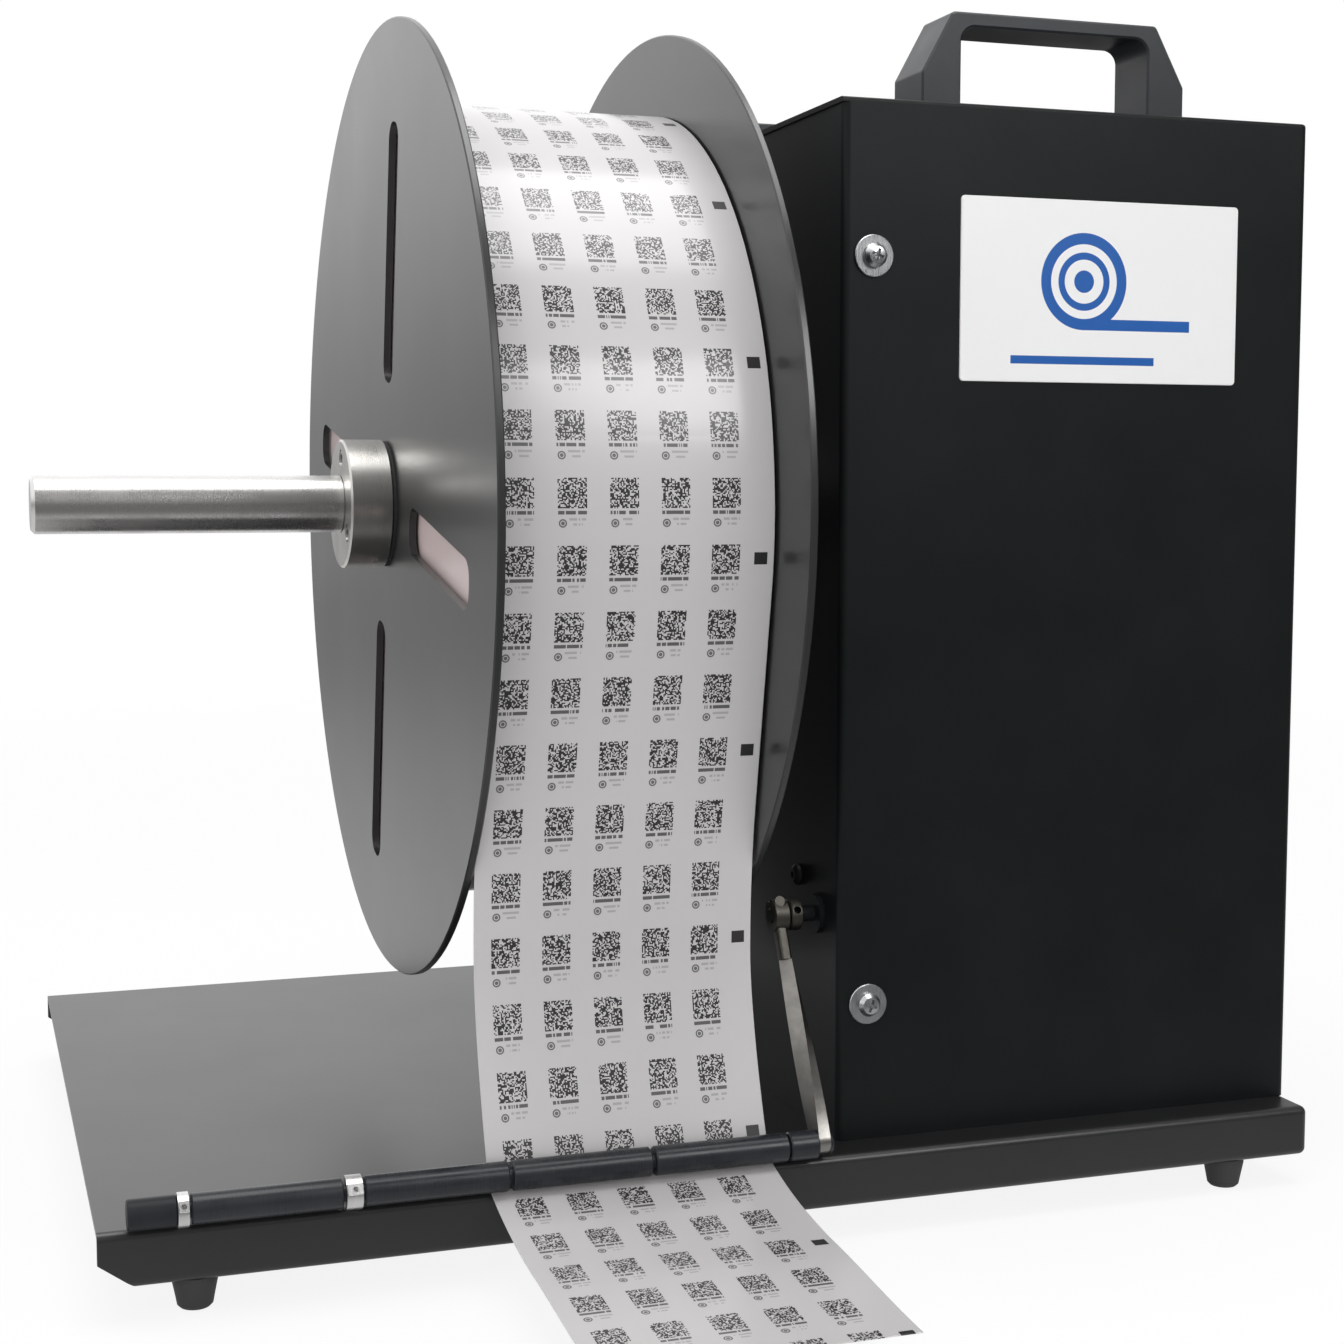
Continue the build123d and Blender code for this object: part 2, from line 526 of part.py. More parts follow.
def flange_disc(x):
    """Round sheet flange with four radial slots, left face at x."""
    disc = rod_x(FLANGE_R, x, x + FLANGE_SHEET, SPINDLE_Y, SPINDLE_Z)
    disc -= rod_x(SPINDLE_R + SCREW_HOLE_FIT, x - 1, x + FLANGE_SHEET + 1, SPINDLE_Y, SPINDLE_Z)
    rim = disc.edges().filter_by(GeomType.CIRCLE).filter_by(lambda e: e.length > FLANGE_R)
    disc = chamfer(rim, 0.5)
    slot_mid = (SLOT_INNER_R + SLOT_OUTER_R) / 2
    slot = RectangleRounded(SLOT_OUTER_R - SLOT_INNER_R, SLOT_WIDTH, SLOT_CORNER_R)
    for quarter in range(4):
        turn = SLOT_TURN + 90 * quarter
        cutter = extrude(Rot(0, 0, turn) * Pos(-slot_mid, 0, 0) * slot, amount=FLANGE_SHEET * 3, both=True)
        disc -= Pos(x, SPINDLE_Y, SPINDLE_Z) * Rot(0, 90, 0) * Rot(0, 0, 90) * cutter
    for y, z in HUB_SCREW_PLACES:
        disc -= rod_x(HUB_SCREW_R + SEAT_FIT, x - 1, x + FLANGE_SHEET + 1, y, z)
    return disc


HUB_SCREW_PLACES = on_circle(HUB_SCREW_CIRCLE_R, 3, HUB_SCREW_TURN)
HUB_SCREW_HEAD_R = 3.5
HUB_SCREW_SINK = 4.4
LOCK_SCREW_R = 2.5


def hub(x0, x1, head_x, towards, bore_fit):
    """Turned clamping hub with three sunk cap screws and a radial lock screw at the back."""
    body = rod_x(HUB_R, x0, x1, SPINDLE_Y, SPINDLE_Z)
    body = chamfer(body.edges().filter_by(GeomType.CIRCLE), 0.8)
    body -= rod_x(SPINDLE_R + bore_fit, x0 - 1, x1 + 1, SPINDLE_Y, SPINDLE_Z)
    for y, z in HUB_SCREW_PLACES:
        body -= rod_x(HUB_SCREW_R + SEAT_FIT, x0 - 1, x1 + 1, y, z)
        sink = sorted((head_x - towards, head_x + towards * HUB_SCREW_SINK))
        body -= rod_x(HUB_SCREW_HEAD_R + SCREW_HOLE_FIT, sink[0], sink[1], y, z)
    body -= rod_y(LOCK_SCREW_R + SEAT_FIT, SPINDLE_Y, SPINDLE_Y + HUB_R + 2, (x0 + x1) / 2, SPINDLE_Z)
    return body


def outer_hub():
    return hub(OUTER_HUB_FACE, OUTER_HUB_X, OUTER_HUB_FACE, 1, RUNNING_FIT)


def inner_hub():
    return hub(INNER_FLANGE_X, INNER_FLANGE_X + HUB_LENGTH, INNER_FLANGE_X + HUB_LENGTH, -1, SEAT_FIT)


def hub_screws(head_x, tip_x):
    """Three cap screws from a hub into its flange disc."""
    towards = 1 if tip_x > head_x else -1
    seat = head_x + towards * HUB_SCREW_SINK
    screws = []
    for y, z in HUB_SCREW_PLACES:
        head_ends = sorted((seat, seat - towards * 4.0))
        head = rod_x(HUB_SCREW_HEAD_R, head_ends[0], head_ends[1], y, z)
        head -= rod_x(1.7, *sorted((seat - towards * 4.5, seat - towards * 1.8)), y, z)
        screws.append(head + rod_x(HUB_SCREW_R, *sorted((seat, tip_x)), y, z))
    return group(screws)


def outer_hub_screws():
    return hub_screws(OUTER_HUB_FACE, OUTER_FLANGE_X)


def inner_hub_screws():
    return hub_screws(INNER_FLANGE_X + HUB_LENGTH, INNER_FLANGE_X - FLANGE_SHEET)


def lock_screws():
    """Grub screw of the outer hub, bearing on the shaft from the back."""
    x = (OUTER_HUB_FACE + OUTER_HUB_X) / 2
    tip = SPINDLE_Y + SPINDLE_R + RUNNING_FIT
    screw = rod_y(LOCK_SCREW_R, tip + 0.1, SPINDLE_Y + HUB_R - 1, x, SPINDLE_Z)
    return screw - rod_y(1.3, SPINDLE_Y + HUB_R - 4, SPINDLE_Y + HUB_R, x, SPINDLE_Z)


def hub_gasket():
    """Dark fibre washer between the outer hub and its flange."""
    ring = rod_x(HUB_R - 0.6, OUTER_HUB_X, OUTER_FLANGE_FACE, SPINDLE_Y, SPINDLE_Z)
    ring -= rod_x(SPINDLE_R + SCREW_HOLE_FIT, OUTER_HUB_X - 1, OUTER_FLANGE_FACE + 1, SPINDLE_Y, SPINDLE_Z)
    for y, z in HUB_SCREW_PLACES:
        ring -= rod_x(HUB_SCREW_R + SEAT_FIT, OUTER_HUB_X - 1, OUTER_FLANGE_FACE + 1, y, z)
    return ring


def tube_x(outer_r, inner_r, x0, x1, y, z):
    """Plain tube along X."""
    return turned_x([(x0, inner_r), (x0, outer_r), (x1, outer_r), (x1, inner_r)], y, z)


def roll_core():
    """Card core, a little longer than the roll is wide, so that the flanges clamp it."""
    overhang = ROLL_SIDE_GAP - SEAT_FIT
    return tube_x(CORE_R, CORE_BORE_R, ROLL_LEFT - overhang, ROLL_RIGHT + overhang, SPINDLE_Y, SPINDLE_Z)


def label_roll():
    return tube_x(ROLL_R, CORE_R + SEAT_FIT, ROLL_LEFT, ROLL_RIGHT, SPINDLE_Y, SPINDLE_Z)


# ================================================================== bearings and drive
BEARING_SCREW_CIRCLE_R = (BEARING_HOUSING_R + BEARING_FLANGE_R) / 2
RACE_SPLIT_R = (JOURNAL_R + BEARING_R) / 2
BRACKET_HALF = GEARBOX_R + 12.0
BRACKET_EAR = 14.0
BRACKET_SCREW_PLACES = [
    (MOTOR_Y + side * (BRACKET_HALF + BRACKET_EAR / 2), MOTOR_Z + drop * GEARBOX_R * 0.8)
    for side in (-1, 1) for drop in (-1, 1)
]


def bearing_housing():
    """Flanged tube with a bearing seat at each end, through the plate and flush with the left wall."""
    seat = BEARING_R + SEAT_FIT
    shoulder = BEARING_R - 3.5
    tube = turned_x([(TOP_EDGE_PROUD, shoulder), (TOP_EDGE_PROUD, BEARING_HOUSING_R),
                     (PLATE_INNER_X, BEARING_HOUSING_R), (PLATE_INNER_X, BEARING_FLANGE_R),
                     (PLATE_INNER_X + BEARING_FLANGE_SHEET, BEARING_FLANGE_R),
                     (PLATE_INNER_X + BEARING_FLANGE_SHEET, BEARING_HOUSING_R),
                     (BEARING_TUBE_END, BEARING_HOUSING_R), (BEARING_TUBE_END, seat), (BEARING_2_X, seat),
                     (BEARING_2_X, shoulder), (BEARING_1_X + BEARING_WIDTH, shoulder),
                     (BEARING_1_X + BEARING_WIDTH, seat), (BEARING_1_X, seat), (BEARING_1_X, shoulder)],
                    SPINDLE_Y, SPINDLE_Z)
    for y, z in on_circle(BEARING_SCREW_CIRCLE_R, 4, 45):
        tube -= rod_x(COVER_SCREW_R + SCREW_HOLE_FIT, PLATE_INNER_X - 1,
                      PLATE_INNER_X + BEARING_FLANGE_SHEET + 1, y, z)
    return tube


def bearing_outer_rings():
    return group(tube_x(BEARING_R, RACE_SPLIT_R + 2.0, x, x + BEARING_WIDTH, SPINDLE_Y, SPINDLE_Z)
                 for x in (BEARING_1_X, BEARING_2_X))


def bearing_inner_rings():
    """Inner rings with their seals, turning with the shaft."""
    return group(tube_x(RACE_SPLIT_R + 2.0 - RUNNING_FIT, JOURNAL_R + SEAT_FIT, x, x + BEARING_WIDTH,
                        SPINDLE_Y, SPINDLE_Z) for x in (BEARING_1_X, BEARING_2_X))


def round_belt_pulley(pitch_r, bore_r, y, z):
    """Pulley whose groove has a round bottom and straight sides, its bottom centred on the pitch radius."""
    rim = pitch_r + BELT_R * 0.6
    half = BELT_R + BELT_CLEARANCE
    wheel = tube_x(rim, bore_r, PULLEY_X, PULLEY_X + PULLEY_WIDTH, 0, 0)
    wheel -= Pos(PULLEY_MID_X, 0, 0) * Rot(0, 90, 0) * Torus(pitch_r, half)
    wheel -= tube_x(rim + 1, pitch_r, PULLEY_MID_X - half, PULLEY_MID_X + half, 0, 0)
    return Pos(0, y, z) * wheel


def spindle_pulley():
    return round_belt_pulley(SPINDLE_PULLEY_R, JOURNAL_R + SEAT_FIT, SPINDLE_Y, SPINDLE_Z)


def motor_pulley():
    """Small pulley with the gearbox's output shaft."""
    pulley = round_belt_pulley(MOTOR_PULLEY_R, MOTOR_SHAFT_R, MOTOR_Y, MOTOR_Z)
    shaft_end = BRACKET_X + BRACKET_SHEET + 12.0
    return pulley + rod_x(MOTOR_SHAFT_R, PULLEY_X, shaft_end, MOTOR_Y, MOTOR_Z)


def drive_belt():
    """Round belt round both pulleys: two arcs joined by the outer tangents."""
    dy, dz = MOTOR_Y - SPINDLE_Y, MOTOR_Z - SPINDLE_Z
    span = math.hypot(dy, dz)
    heading = math.degrees(math.atan2(dz, dy))
    tilt = math.degrees(math.asin((SPINDLE_PULLEY_R - MOTOR_PULLEY_R) / span))
    big, small = SPINDLE_PULLEY_R, MOTOR_PULLEY_R
    up, down = 90 - tilt, -(90 - tilt)
    rim = CenterArc((0, 0), big, up, 360 - 2 * up)
    tip = CenterArc((span, 0), small, down, 2 * up)
    path = Wire([rim, tip, Line(rim @ 1, tip @ 0), Line(tip @ 1, rim @ 0)])
    section = Plane(origin=(big * math.cos(math.radians(180)), 0, 0), z_dir=(0, 1, 0)) * Circle(BELT_R)
    loop = sweep(section, path=path)
    return Pos(PULLEY_MID_X, SPINDLE_Y, SPINDLE_Z) * Rot(heading, 0, 0) * Rot(0, 90, 0) * Rot(0, 0, 90) * loop


def motor_bracket():
    """Channel that stands on the bearing plate and carries the gear motor."""
    y0, y1 = MOTOR_Y - BRACKET_HALF, MOTOR_Y + BRACKET_HALF
    z0, z1 = MOTOR_Z - GEARBOX_R - 4, MOTOR_Z + GEARBOX_R + 4
    bracket = block(BRACKET_X, BRACKET_X + BRACKET_SHEET, y0, y1, z0, z1)
    for side in (-1, 1):
        wall = MOTOR_Y + side * BRACKET_HALF
        inner = wall - side * BRACKET_SHEET
        ear = wall + side * BRACKET_EAR
        bracket += block(PLATE_INNER_X, BRACKET_X, *sorted((inner, wall)), z0, z1)
        bracket += block(PLATE_INNER_X, PLATE_INNER_X + BRACKET_SHEET, *sorted((wall, ear)), z0, z1)
    bracket -= rod_x(MOTOR_SHAFT_R + 4, BRACKET_X - 1, BRACKET_X + BRACKET_SHEET + 1, MOTOR_Y, MOTOR_Z)
    for y, z in BRACKET_SCREW_PLACES:
        bracket -= rod_x(SMALL_SCREW_R + SCREW_HOLE_FIT, PLATE_INNER_X - 1,
                         PLATE_INNER_X + BRACKET_SHEET + 1, y, z)
    return bracket


def mounting_screws():
    """Screws of the bearing housing and of the motor bracket, into the bearing plate."""
    seat = PLATE_INNER_X + BEARING_FLANGE_SHEET
    screws = [rod_x(COVER_SCREW_R, PLATE_X + 0.5, seat, y, z)
              + rod_x(COVER_SCREW_HEAD_R - 0.4, seat, seat + COVER_SCREW_HEAD, y, z)
              for y, z in on_circle(BEARING_SCREW_CIRCLE_R, 4, 45)]
    seat = PLATE_INNER_X + BRACKET_SHEET
    screws += [rod_x(SMALL_SCREW_R, PLATE_X + 0.5, seat, y, z)
               + rod_x(SMALL_SCREW_HEAD_R, seat, seat + SMALL_SCREW_HEAD, y, z)
               for y, z in BRACKET_SCREW_PLACES]
    return group(screws)


def gear_motor():
    """Gearbox and motor in line, with the bore for the output shaft."""
    x = BRACKET_X + BRACKET_SHEET
    end = x + GEARBOX_LENGTH + MOTOR_LENGTH
    body = turned_x([(x, 0), (x, GEARBOX_R), (x + GEARBOX_LENGTH, GEARBOX_R), (x + GEARBOX_LENGTH, MOTOR_R),
                     (end - 2, MOTOR_R), (end, MOTOR_R - 2), (end, 0)], MOTOR_Y, MOTOR_Z)
    return body - rod_x(MOTOR_SHAFT_R + RUNNING_FIT, x - 1, x + 12.5, MOTOR_Y, MOTOR_Z)


# ================================================================== dancer arm and roller bar
def along_arm(shape):
    """Turns a shape drawn with the arm hanging straight down into the arm's rest lean."""
    return Pos(0, PIVOT_Y, PIVOT_Z) * Rot(-BAR_LEAN, 0, 0) * shape


HEAD_MID_X = (HEAD_LEFT_X + HEAD_RIGHT_X) / 2
CLAMP_SCREW_Z = PIVOT_R + CLAMP_SCREW_R + CLAMP_SCREW_WALL
CLAMP_HEAD_SEAT = 2.6


def dancer_head():
    """Split clamp head on the pivot shaft, with a neck that takes the arm."""
    head = rod_x(HEAD_R, HEAD_LEFT_X, HEAD_RIGHT_X)
    neck = block(HEAD_MID_X - NECK_WIDTH / 2, HEAD_MID_X + NECK_WIDTH / 2, -NECK_DEPTH / 2, NECK_DEPTH / 2,
                 -HEAD_NECK, 0)
    head += fillet(neck.edges().filter_by(Axis.Z), NECK_ROUNDING)
    head -= rod_x(PIVOT_R + SEAT_FIT, HEAD_LEFT_X - 1, HEAD_RIGHT_X + 1)
    head -= block(HEAD_LEFT_X - 1, HEAD_RIGHT_X + 1, -0.6, 0.6, 0, HEAD_R + 1)
    head -= rod_y(CLAMP_SCREW_R + SEAT_FIT, -HEAD_R - 1, HEAD_R + 1, HEAD_MID_X, CLAMP_SCREW_Z)
    head -= rod_y(CLAMP_SCREW_R + 1.2, -HEAD_R - 1, -CLAMP_HEAD_SEAT, HEAD_MID_X, CLAMP_SCREW_Z)
    head -= rod_z(TENON_R + SEAT_FIT, -HEAD_NECK - 1, -HEAD_NECK + TENON_LENGTH + 0.5, HEAD_MID_X, 0)
    return along_arm(head)


ARM_END_Z = -ARM_REACH + ARM_END_ABOVE_BAR


def arm_section(share):
    """The lever's oblong section, share 0 at the neck and 1 at the round end. Its broad side turns from the
    front, at the neck, to the left, at the end."""
    turn = math.radians(ARM_TOP_TURN + (90 - ARM_TOP_TURN) * share)
    half_width = (ARM_TOP_WIDTH + (ARM_BOTTOM_WIDTH - ARM_TOP_WIDTH) * share) / 2
    half_depth = (ARM_TOP_THICKNESS + (ARM_THICKNESS - ARM_TOP_THICKNESS) * share) / 2
    middle = Vector(HEAD_MID_X + (ARM_LEFT_X + ARM_THICKNESS / 2 - HEAD_MID_X) * share, 0,
                    -HEAD_NECK + (ARM_END_Z + HEAD_NECK) * share)
    along = Vector(math.cos(turn), -math.sin(turn), 0) * half_width
    across = Vector(math.sin(turn), math.cos(turn), 0) * half_depth
    corners = [middle - along - across, middle + along - across, middle + along + across,
               middle - along + across]
    return make_face(Polyline(*corners, close=True)).face()


def dancer_arm():
    """Twisted flat lever that widens downwards to a round end, with a tenon into the head's neck and
    spot faces for the root sleeve and the rod's head."""
    arm = loft([arm_section(number / (ARM_STATIONS - 1)) for number in range(ARM_STATIONS)])
    arm += rod_x(ARM_BOTTOM_WIDTH / 2, ARM_LEFT_X, ARM_RIGHT_X, 0, ARM_END_Z)
    arm += rod_z(TENON_R, -HEAD_NECK - 1, -HEAD_NECK + TENON_LENGTH, HEAD_MID_X, 0)
    arm -= rod_x(ROD_R + SEAT_FIT, ARM_LEFT_X - 1, ARM_RIGHT_X + 1, 0, -ARM_REACH)
    arm -= rod_x(ROLLER_R + SCREW_HOLE_FIT, ARM_LEFT_X - ARM_THICKNESS, ARM_LEFT_X, 0, -ARM_REACH)
    arm -= rod_x(ROD_HEAD_R + SCREW_HOLE_FIT, ARM_RIGHT_X, ARM_RIGHT_X + ARM_THICKNESS, 0, -ARM_REACH)
    return along_arm(arm)


def head_clamp_screw():
    """Small cap screw across the head's slit."""
    screw = rod_y(CLAMP_SCREW_R, -CLAMP_HEAD_SEAT, HEAD_R * 0.6, HEAD_MID_X, CLAMP_SCREW_Z)
    screw += rod_y(CLAMP_SCREW_R + 0.9, -CLAMP_HEAD_SEAT - 2.4, -CLAMP_HEAD_SEAT, HEAD_MID_X, CLAMP_SCREW_Z)
    return along_arm(screw)


PIVOT_LEFT = HEAD_LEFT_X - 0.8
PIVOT_RIGHT = 44.0
COLLAR_X = HEAD_RIGHT_X + COLLAR_GAP
BUSH_LIP = 2.0
SENSOR_X = 24.0


def pivot_shaft():
    shaft = rod_x(PIVOT_R, PIVOT_LEFT, PIVOT_RIGHT, PIVOT_Y, PIVOT_Z)
    return chamfer(shaft.edges().filter_by(GeomType.CIRCLE), 0.5)


def arm_collar():
    """Set collar beside the head, with its set screw hole."""
    ring = tube_x(COLLAR_R, PIVOT_R + SEAT_FIT, COLLAR_X, COLLAR_X + COLLAR_LENGTH, 0, 0)
    ring = chamfer(ring.edges().filter_by(lambda e: e.length > 2 * math.pi * PIVOT_R + 6), 0.5)
    ring -= rod_y(SMALL_SCREW_R, -COLLAR_R - 1, 0, COLLAR_X + COLLAR_LENGTH / 2, 0)
    return along_arm(ring)


def pivot_bush():
    """Flanged bush for the pivot shaft through the wall and the plate."""
    outer, lip = PIVOT_R + 3, PIVOT_R + 5
    start = TOP_EDGE_PROUD - BUSH_LIP
    return turned_x([(start, PIVOT_R + RUNNING_FIT), (start, lip), (TOP_EDGE_PROUD, lip),
                     (TOP_EDGE_PROUD, outer), (PLATE_INNER_X + 4, outer),
                     (PLATE_INNER_X + 4, PIVOT_R + RUNNING_FIT)], PIVOT_Y, PIVOT_Z)


def sensor_bracket():
    """Angle bracket on the bearing plate that holds the arm's position sensor."""
    z1 = SENSOR_SCREW_Z + 8
    y1 = SENSOR_SCREW_Y + 8
    y0 = SENSOR_SCREW_Y - 8
    foot = block(PLATE_INNER_X, PLATE_INNER_X + 2, y0, y1, PIVOT_Z - 14, z1)
    side = block(PLATE_INNER_X, SENSOR_X, y1 - 2, y1, PIVOT_Z - 14, z1)
    face = block(SENSOR_X - 2, SENSOR_X, PIVOT_Y - 14, y1, PIVOT_Z - 14, z1)
    bracket = foot + side + face
    bracket -= rod_x(COVER_SCREW_R + SEAT_FIT, PLATE_INNER_X - 1, PLATE_INNER_X + 3,
                     SENSOR_SCREW_Y, SENSOR_SCREW_Z)
    return bracket - rod_x(PIVOT_R + 1, SENSOR_X - 3, SENSOR_X + 1, PIVOT_Y, PIVOT_Z)


def arm_sensor():
    """Hollow-shaft position sensor on the pivot shaft."""
    body = rod_x(11.5, SENSOR_X, SENSOR_X + 16, PIVOT_Y, PIVOT_Z)
    body += block(SENSOR_X + 4, SENSOR_X + 12, PIVOT_Y - 5, PIVOT_Y + 5, PIVOT_Z - 17, PIVOT_Z)
    return body - rod_x(PIVOT_R + RUNNING_FIT, SENSOR_X - 1, SENSOR_X + 17, PIVOT_Y, PIVOT_Z)


def sensor_screw():
    """Button-head screw from outside that holds the sensor bracket."""
    seat = TOP_EDGE_PROUD
    dome = turned_x([(seat, 0), (seat, 4.4), (seat - 1.2, 4.1), (seat - 2.4, 2.6), (seat - 2.4, 0)],
                    SENSOR_SCREW_Y, SENSOR_SCREW_Z)
    dome -= rod_x(1.5, seat - 3, seat - 1.0, SENSOR_SCREW_Y, SENSOR_SCREW_Z)
    return dome + rod_x(COVER_SCREW_R, seat, PLATE_INNER_X + 4, SENSOR_SCREW_Y, SENSOR_SCREW_Z)


def bar_layout():
    """X extents of everything on the rod, from the arm outwards."""
    layout = {}
    x = ARM_LEFT_X
    layout["bar_root_sleeve"] = (x - ROOT_SLEEVE_LENGTH, x)
    x -= ROOT_SLEEVE_LENGTH
    for number in range(ROLLER_COUNT, 0, -1):
        x -= ROLLER_END_GAP
        layout[f"roller_{number}"] = (x - ROLLER_LENGTH, x)
        x -= ROLLER_LENGTH + ROLLER_END_GAP
        if number == 2:
            layout["wide_ring"] = (x - WIDE_RING_LENGTH, x)
            x -= WIDE_RING_LENGTH
        if number == 1:
            layout["narrow_ring"] = (x - NARROW_RING_LENGTH, x)
            x -= NARROW_RING_LENGTH
    layout["bar_end_cap"] = (x - END_CAP_LENGTH, x)
    return layout


BAR = bar_layout()
BAR_LEFT = BAR["bar_end_cap"][0]


def bar_tube(name, outer_r, fit):
    x0, x1 = BAR[name]
    tube = tube_x(outer_r, ROD_R + fit, x0, x1, BAR_Y, BAR_Z)
    return chamfer(tube.edges().filter_by(lambda e: e.length > 2 * math.pi * (ROD_R + 1)), 0.5)


def roller_rod():
    """Steel rod through the arm, with a round head behind it."""
    rod = rod_x(ROD_R, BAR_LEFT + ROD_IN_CAP, ARM_RIGHT_X, BAR_Y, BAR_Z)
    crown = ARM_RIGHT_X + ROD_HEAD
    head = turned_x([(ARM_RIGHT_X, 0), (ARM_RIGHT_X, ROD_HEAD_R), (crown - ROD_HEAD * 0.3, ROD_HEAD_R * 0.9),
                     (crown, ROD_HEAD_R * 0.57), (crown, 0)], BAR_Y, BAR_Z)
    return rod + head


def guide_ring(name):
    """Split ring with the foot of its lock screw underneath."""
    x0, x1 = BAR[name]
    ring = tube_x(RING_R, ROD_R + SEAT_FIT, x0 + 0.1, x1 - 0.1, 0, 0)
    foot = block(x0 + 0.3, x1 - 0.3, 2.5, RING_R + 1.2, -2.0, 2.0)
    ring += foot - rod_x(ROD_R + SEAT_FIT, x0 - 1, x1 + 1)
    ring -= rod_y(RING_SCREW_R * 0.8, ROD_R + 0.5, RING_R + 3, (x0 + x1) / 2)
    return Pos(0, BAR_Y, BAR_Z) * Rot(155, 0, 0) * ring


def guide_rings():
    return group([guide_ring("wide_ring"), guide_ring("narrow_ring")])


def bar_end_cap():
    """Closed cap on the rod's free end."""
    x0, x1 = BAR["bar_end_cap"]
    cap = rod_x(ROLLER_R, x0, x1, BAR_Y, BAR_Z)
    cap = chamfer(cap.edges().filter_by(GeomType.CIRCLE), 0.5)
    return cap - rod_x(ROD_R + SEAT_FIT, x0 + ROD_IN_CAP, x1 + 1, BAR_Y, BAR_Z)


# ================================================================== loose web
def label_web():
    """Web that leaves the roll's front, hangs in a slack loop, turns under the bar and runs forward."""
    turn_r = ROLLER_R + WEB_CLEARANCE + WEB_THICKNESS / 2
    lean = math.radians(WEB_LEAN)
    leave_r = ROLL_R + WEB_CLEARANCE + WEB_THICKNESS / 2
    leave = Vector(SPINDLE_Y - leave_r * math.cos(lean), SPINDLE_Z - leave_r * math.sin(lean))
    fall = Vector(math.sin(lean), -math.cos(lean))
    enter_angle, exit_angle = math.radians(-24), math.radians(-70)
    enter = Vector(BAR_Y + turn_r * math.cos(enter_angle), BAR_Z + turn_r * math.sin(enter_angle))
    leave_bar = Vector(BAR_Y + turn_r * math.cos(exit_angle), BAR_Z + turn_r * math.sin(exit_angle))
    hang = leave + fall * ((SPINDLE_Z - BAR_Z) * 0.34)
    belly = Vector(enter.X + 20.4, enter.Y + (hang.Y - enter.Y) * 0.57)
    straight = Line(leave, hang)
    loop = Spline(hang, belly, enter, tangents=[fall, (math.sin(enter_angle), -math.cos(enter_angle))])
    turn_angle = (enter_angle + exit_angle) / 2
    under = Vector(BAR_Y + turn_r * math.cos(turn_angle), BAR_Z + turn_r * math.sin(turn_angle))
    turn = ThreePointArc(enter, under, leave_bar)
    tail = Spline(leave_bar, (BAR_Y - WEB_TAIL_REACH * 0.45, BAR_Z - WEB_TAIL_DROP - 1.6),
                  (WEB_FRONT, BAR_Z - WEB_TAIL_DROP - 6.4),
                  tangents=[(math.sin(exit_angle), -math.cos(exit_angle)), (-1.0, -0.02)])
    path = Wire([straight, loop, turn, tail])
    strip = trace(path, WEB_THICKNESS)
    return extrude(Plane.YZ * strip, amount=ROLL_WIDTH).moved(Location((ROLL_LEFT, 0, 0)))


# ================================================================== controls and electronics
def rocker_frame(place, body_x0):
    """Bezel and body of a rocker switch, with the window that its rocker tilts in."""
    y, z = place
    bezel = block(PANEL_FACE, PANEL_FACE + ROCKER_BEZEL, y - ROCKER_WIDTH / 2 - 3, y + ROCKER_WIDTH / 2 + 3,
                  z - ROCKER_LENGTH / 2 - 3, z + ROCKER_LENGTH / 2 + 3)
    bezel = chamfer(bezel.faces().sort_by(Axis.X)[-1].edges(), 0.8)
    body = block(body_x0, PANEL_FACE, y - ROCKER_WIDTH / 2 - 1.3, y + ROCKER_WIDTH / 2 + 1.3,
                 z - ROCKER_LENGTH / 2 - 1.3, z + ROCKER_LENGTH / 2 + 1.3)
    window = block(PANEL_FACE - 12, PANEL_FACE + ROCKER_BEZEL + 1, y - ROCKER_WIDTH / 2 - 0.3,
                   y + ROCKER_WIDTH / 2 + 0.3, z - ROCKER_LENGTH / 2 - 0.6, z + ROCKER_LENGTH / 2 + 0.6)
    return bezel + body - window


def rocker(place, lean):
    """Rocker key with a shallow V face, tilted by its rest lean about its pivot."""
    y, z = place
    half = ROCKER_LENGTH / 2 - 1.0
    face = ROCKER_PIVOT_BEHIND_FACE + ROCKER_BEZEL
    outline = make_face(Polyline((-4.5, -3.5), (face - 0.6, -half), (face + 2.2, -half), (face + 0.4, 0),
                                 (face + 2.2, half), (face - 0.6, half), (-4.5, 3.5), close=True))
    key = extrude(Plane.XZ * outline, amount=ROCKER_WIDTH / 2, both=True)
    pivot_x = PANEL_FACE - ROCKER_PIVOT_BEHIND_FACE
    return Pos(pivot_x, y, z) * Rot(0, lean, 0) * key


SWITCH_LEAN = 9.0
SWITCH_BODY_X = PANEL_FACE - ROCKER_BODY_DEPTH


def speed_knob():
    """Skirted knob with a pointer groove, in one piece with the potentiometer shaft it is pressed on."""
    y, z = KNOB_PLACE
    start = PANEL_FACE + KNOB_LIFT
    knob = turned_x([(start, 0), (start, KNOB_R), (start + 3, KNOB_R), (start + 4, KNOB_R - 1.6),
                     (start + KNOB_LENGTH - 1, KNOB_R - 2.2), (start + KNOB_LENGTH, KNOB_R - 3.2),
                     (start + KNOB_LENGTH, 0)], y, z)
    knob -= block(KNOB_FACE - 0.8, KNOB_FACE + 1, y - 0.6, y + 0.6, z, z + KNOB_R + 1)
    return knob + rod_x(POT_SHAFT_R, PANEL_BACK - 9, start + 1, y, z)


def speed_potentiometer():
    """Potentiometer body behind the panel, its bush and nut, and the shaft bore for the knob."""
    y, z = KNOB_PLACE
    body = rod_x(POT_BODY_R, PANEL_BACK - 12, PANEL_BACK, y, z)
    body += rod_x(POT_SHAFT_R + 0.9, PANEL_BACK, PANEL_FACE + KNOB_LIFT - 0.2, y, z)
    return body - rod_x(POT_SHAFT_R + RUNNING_FIT, PANEL_BACK - 10, PANEL_FACE + KNOB_LIFT, y, z)


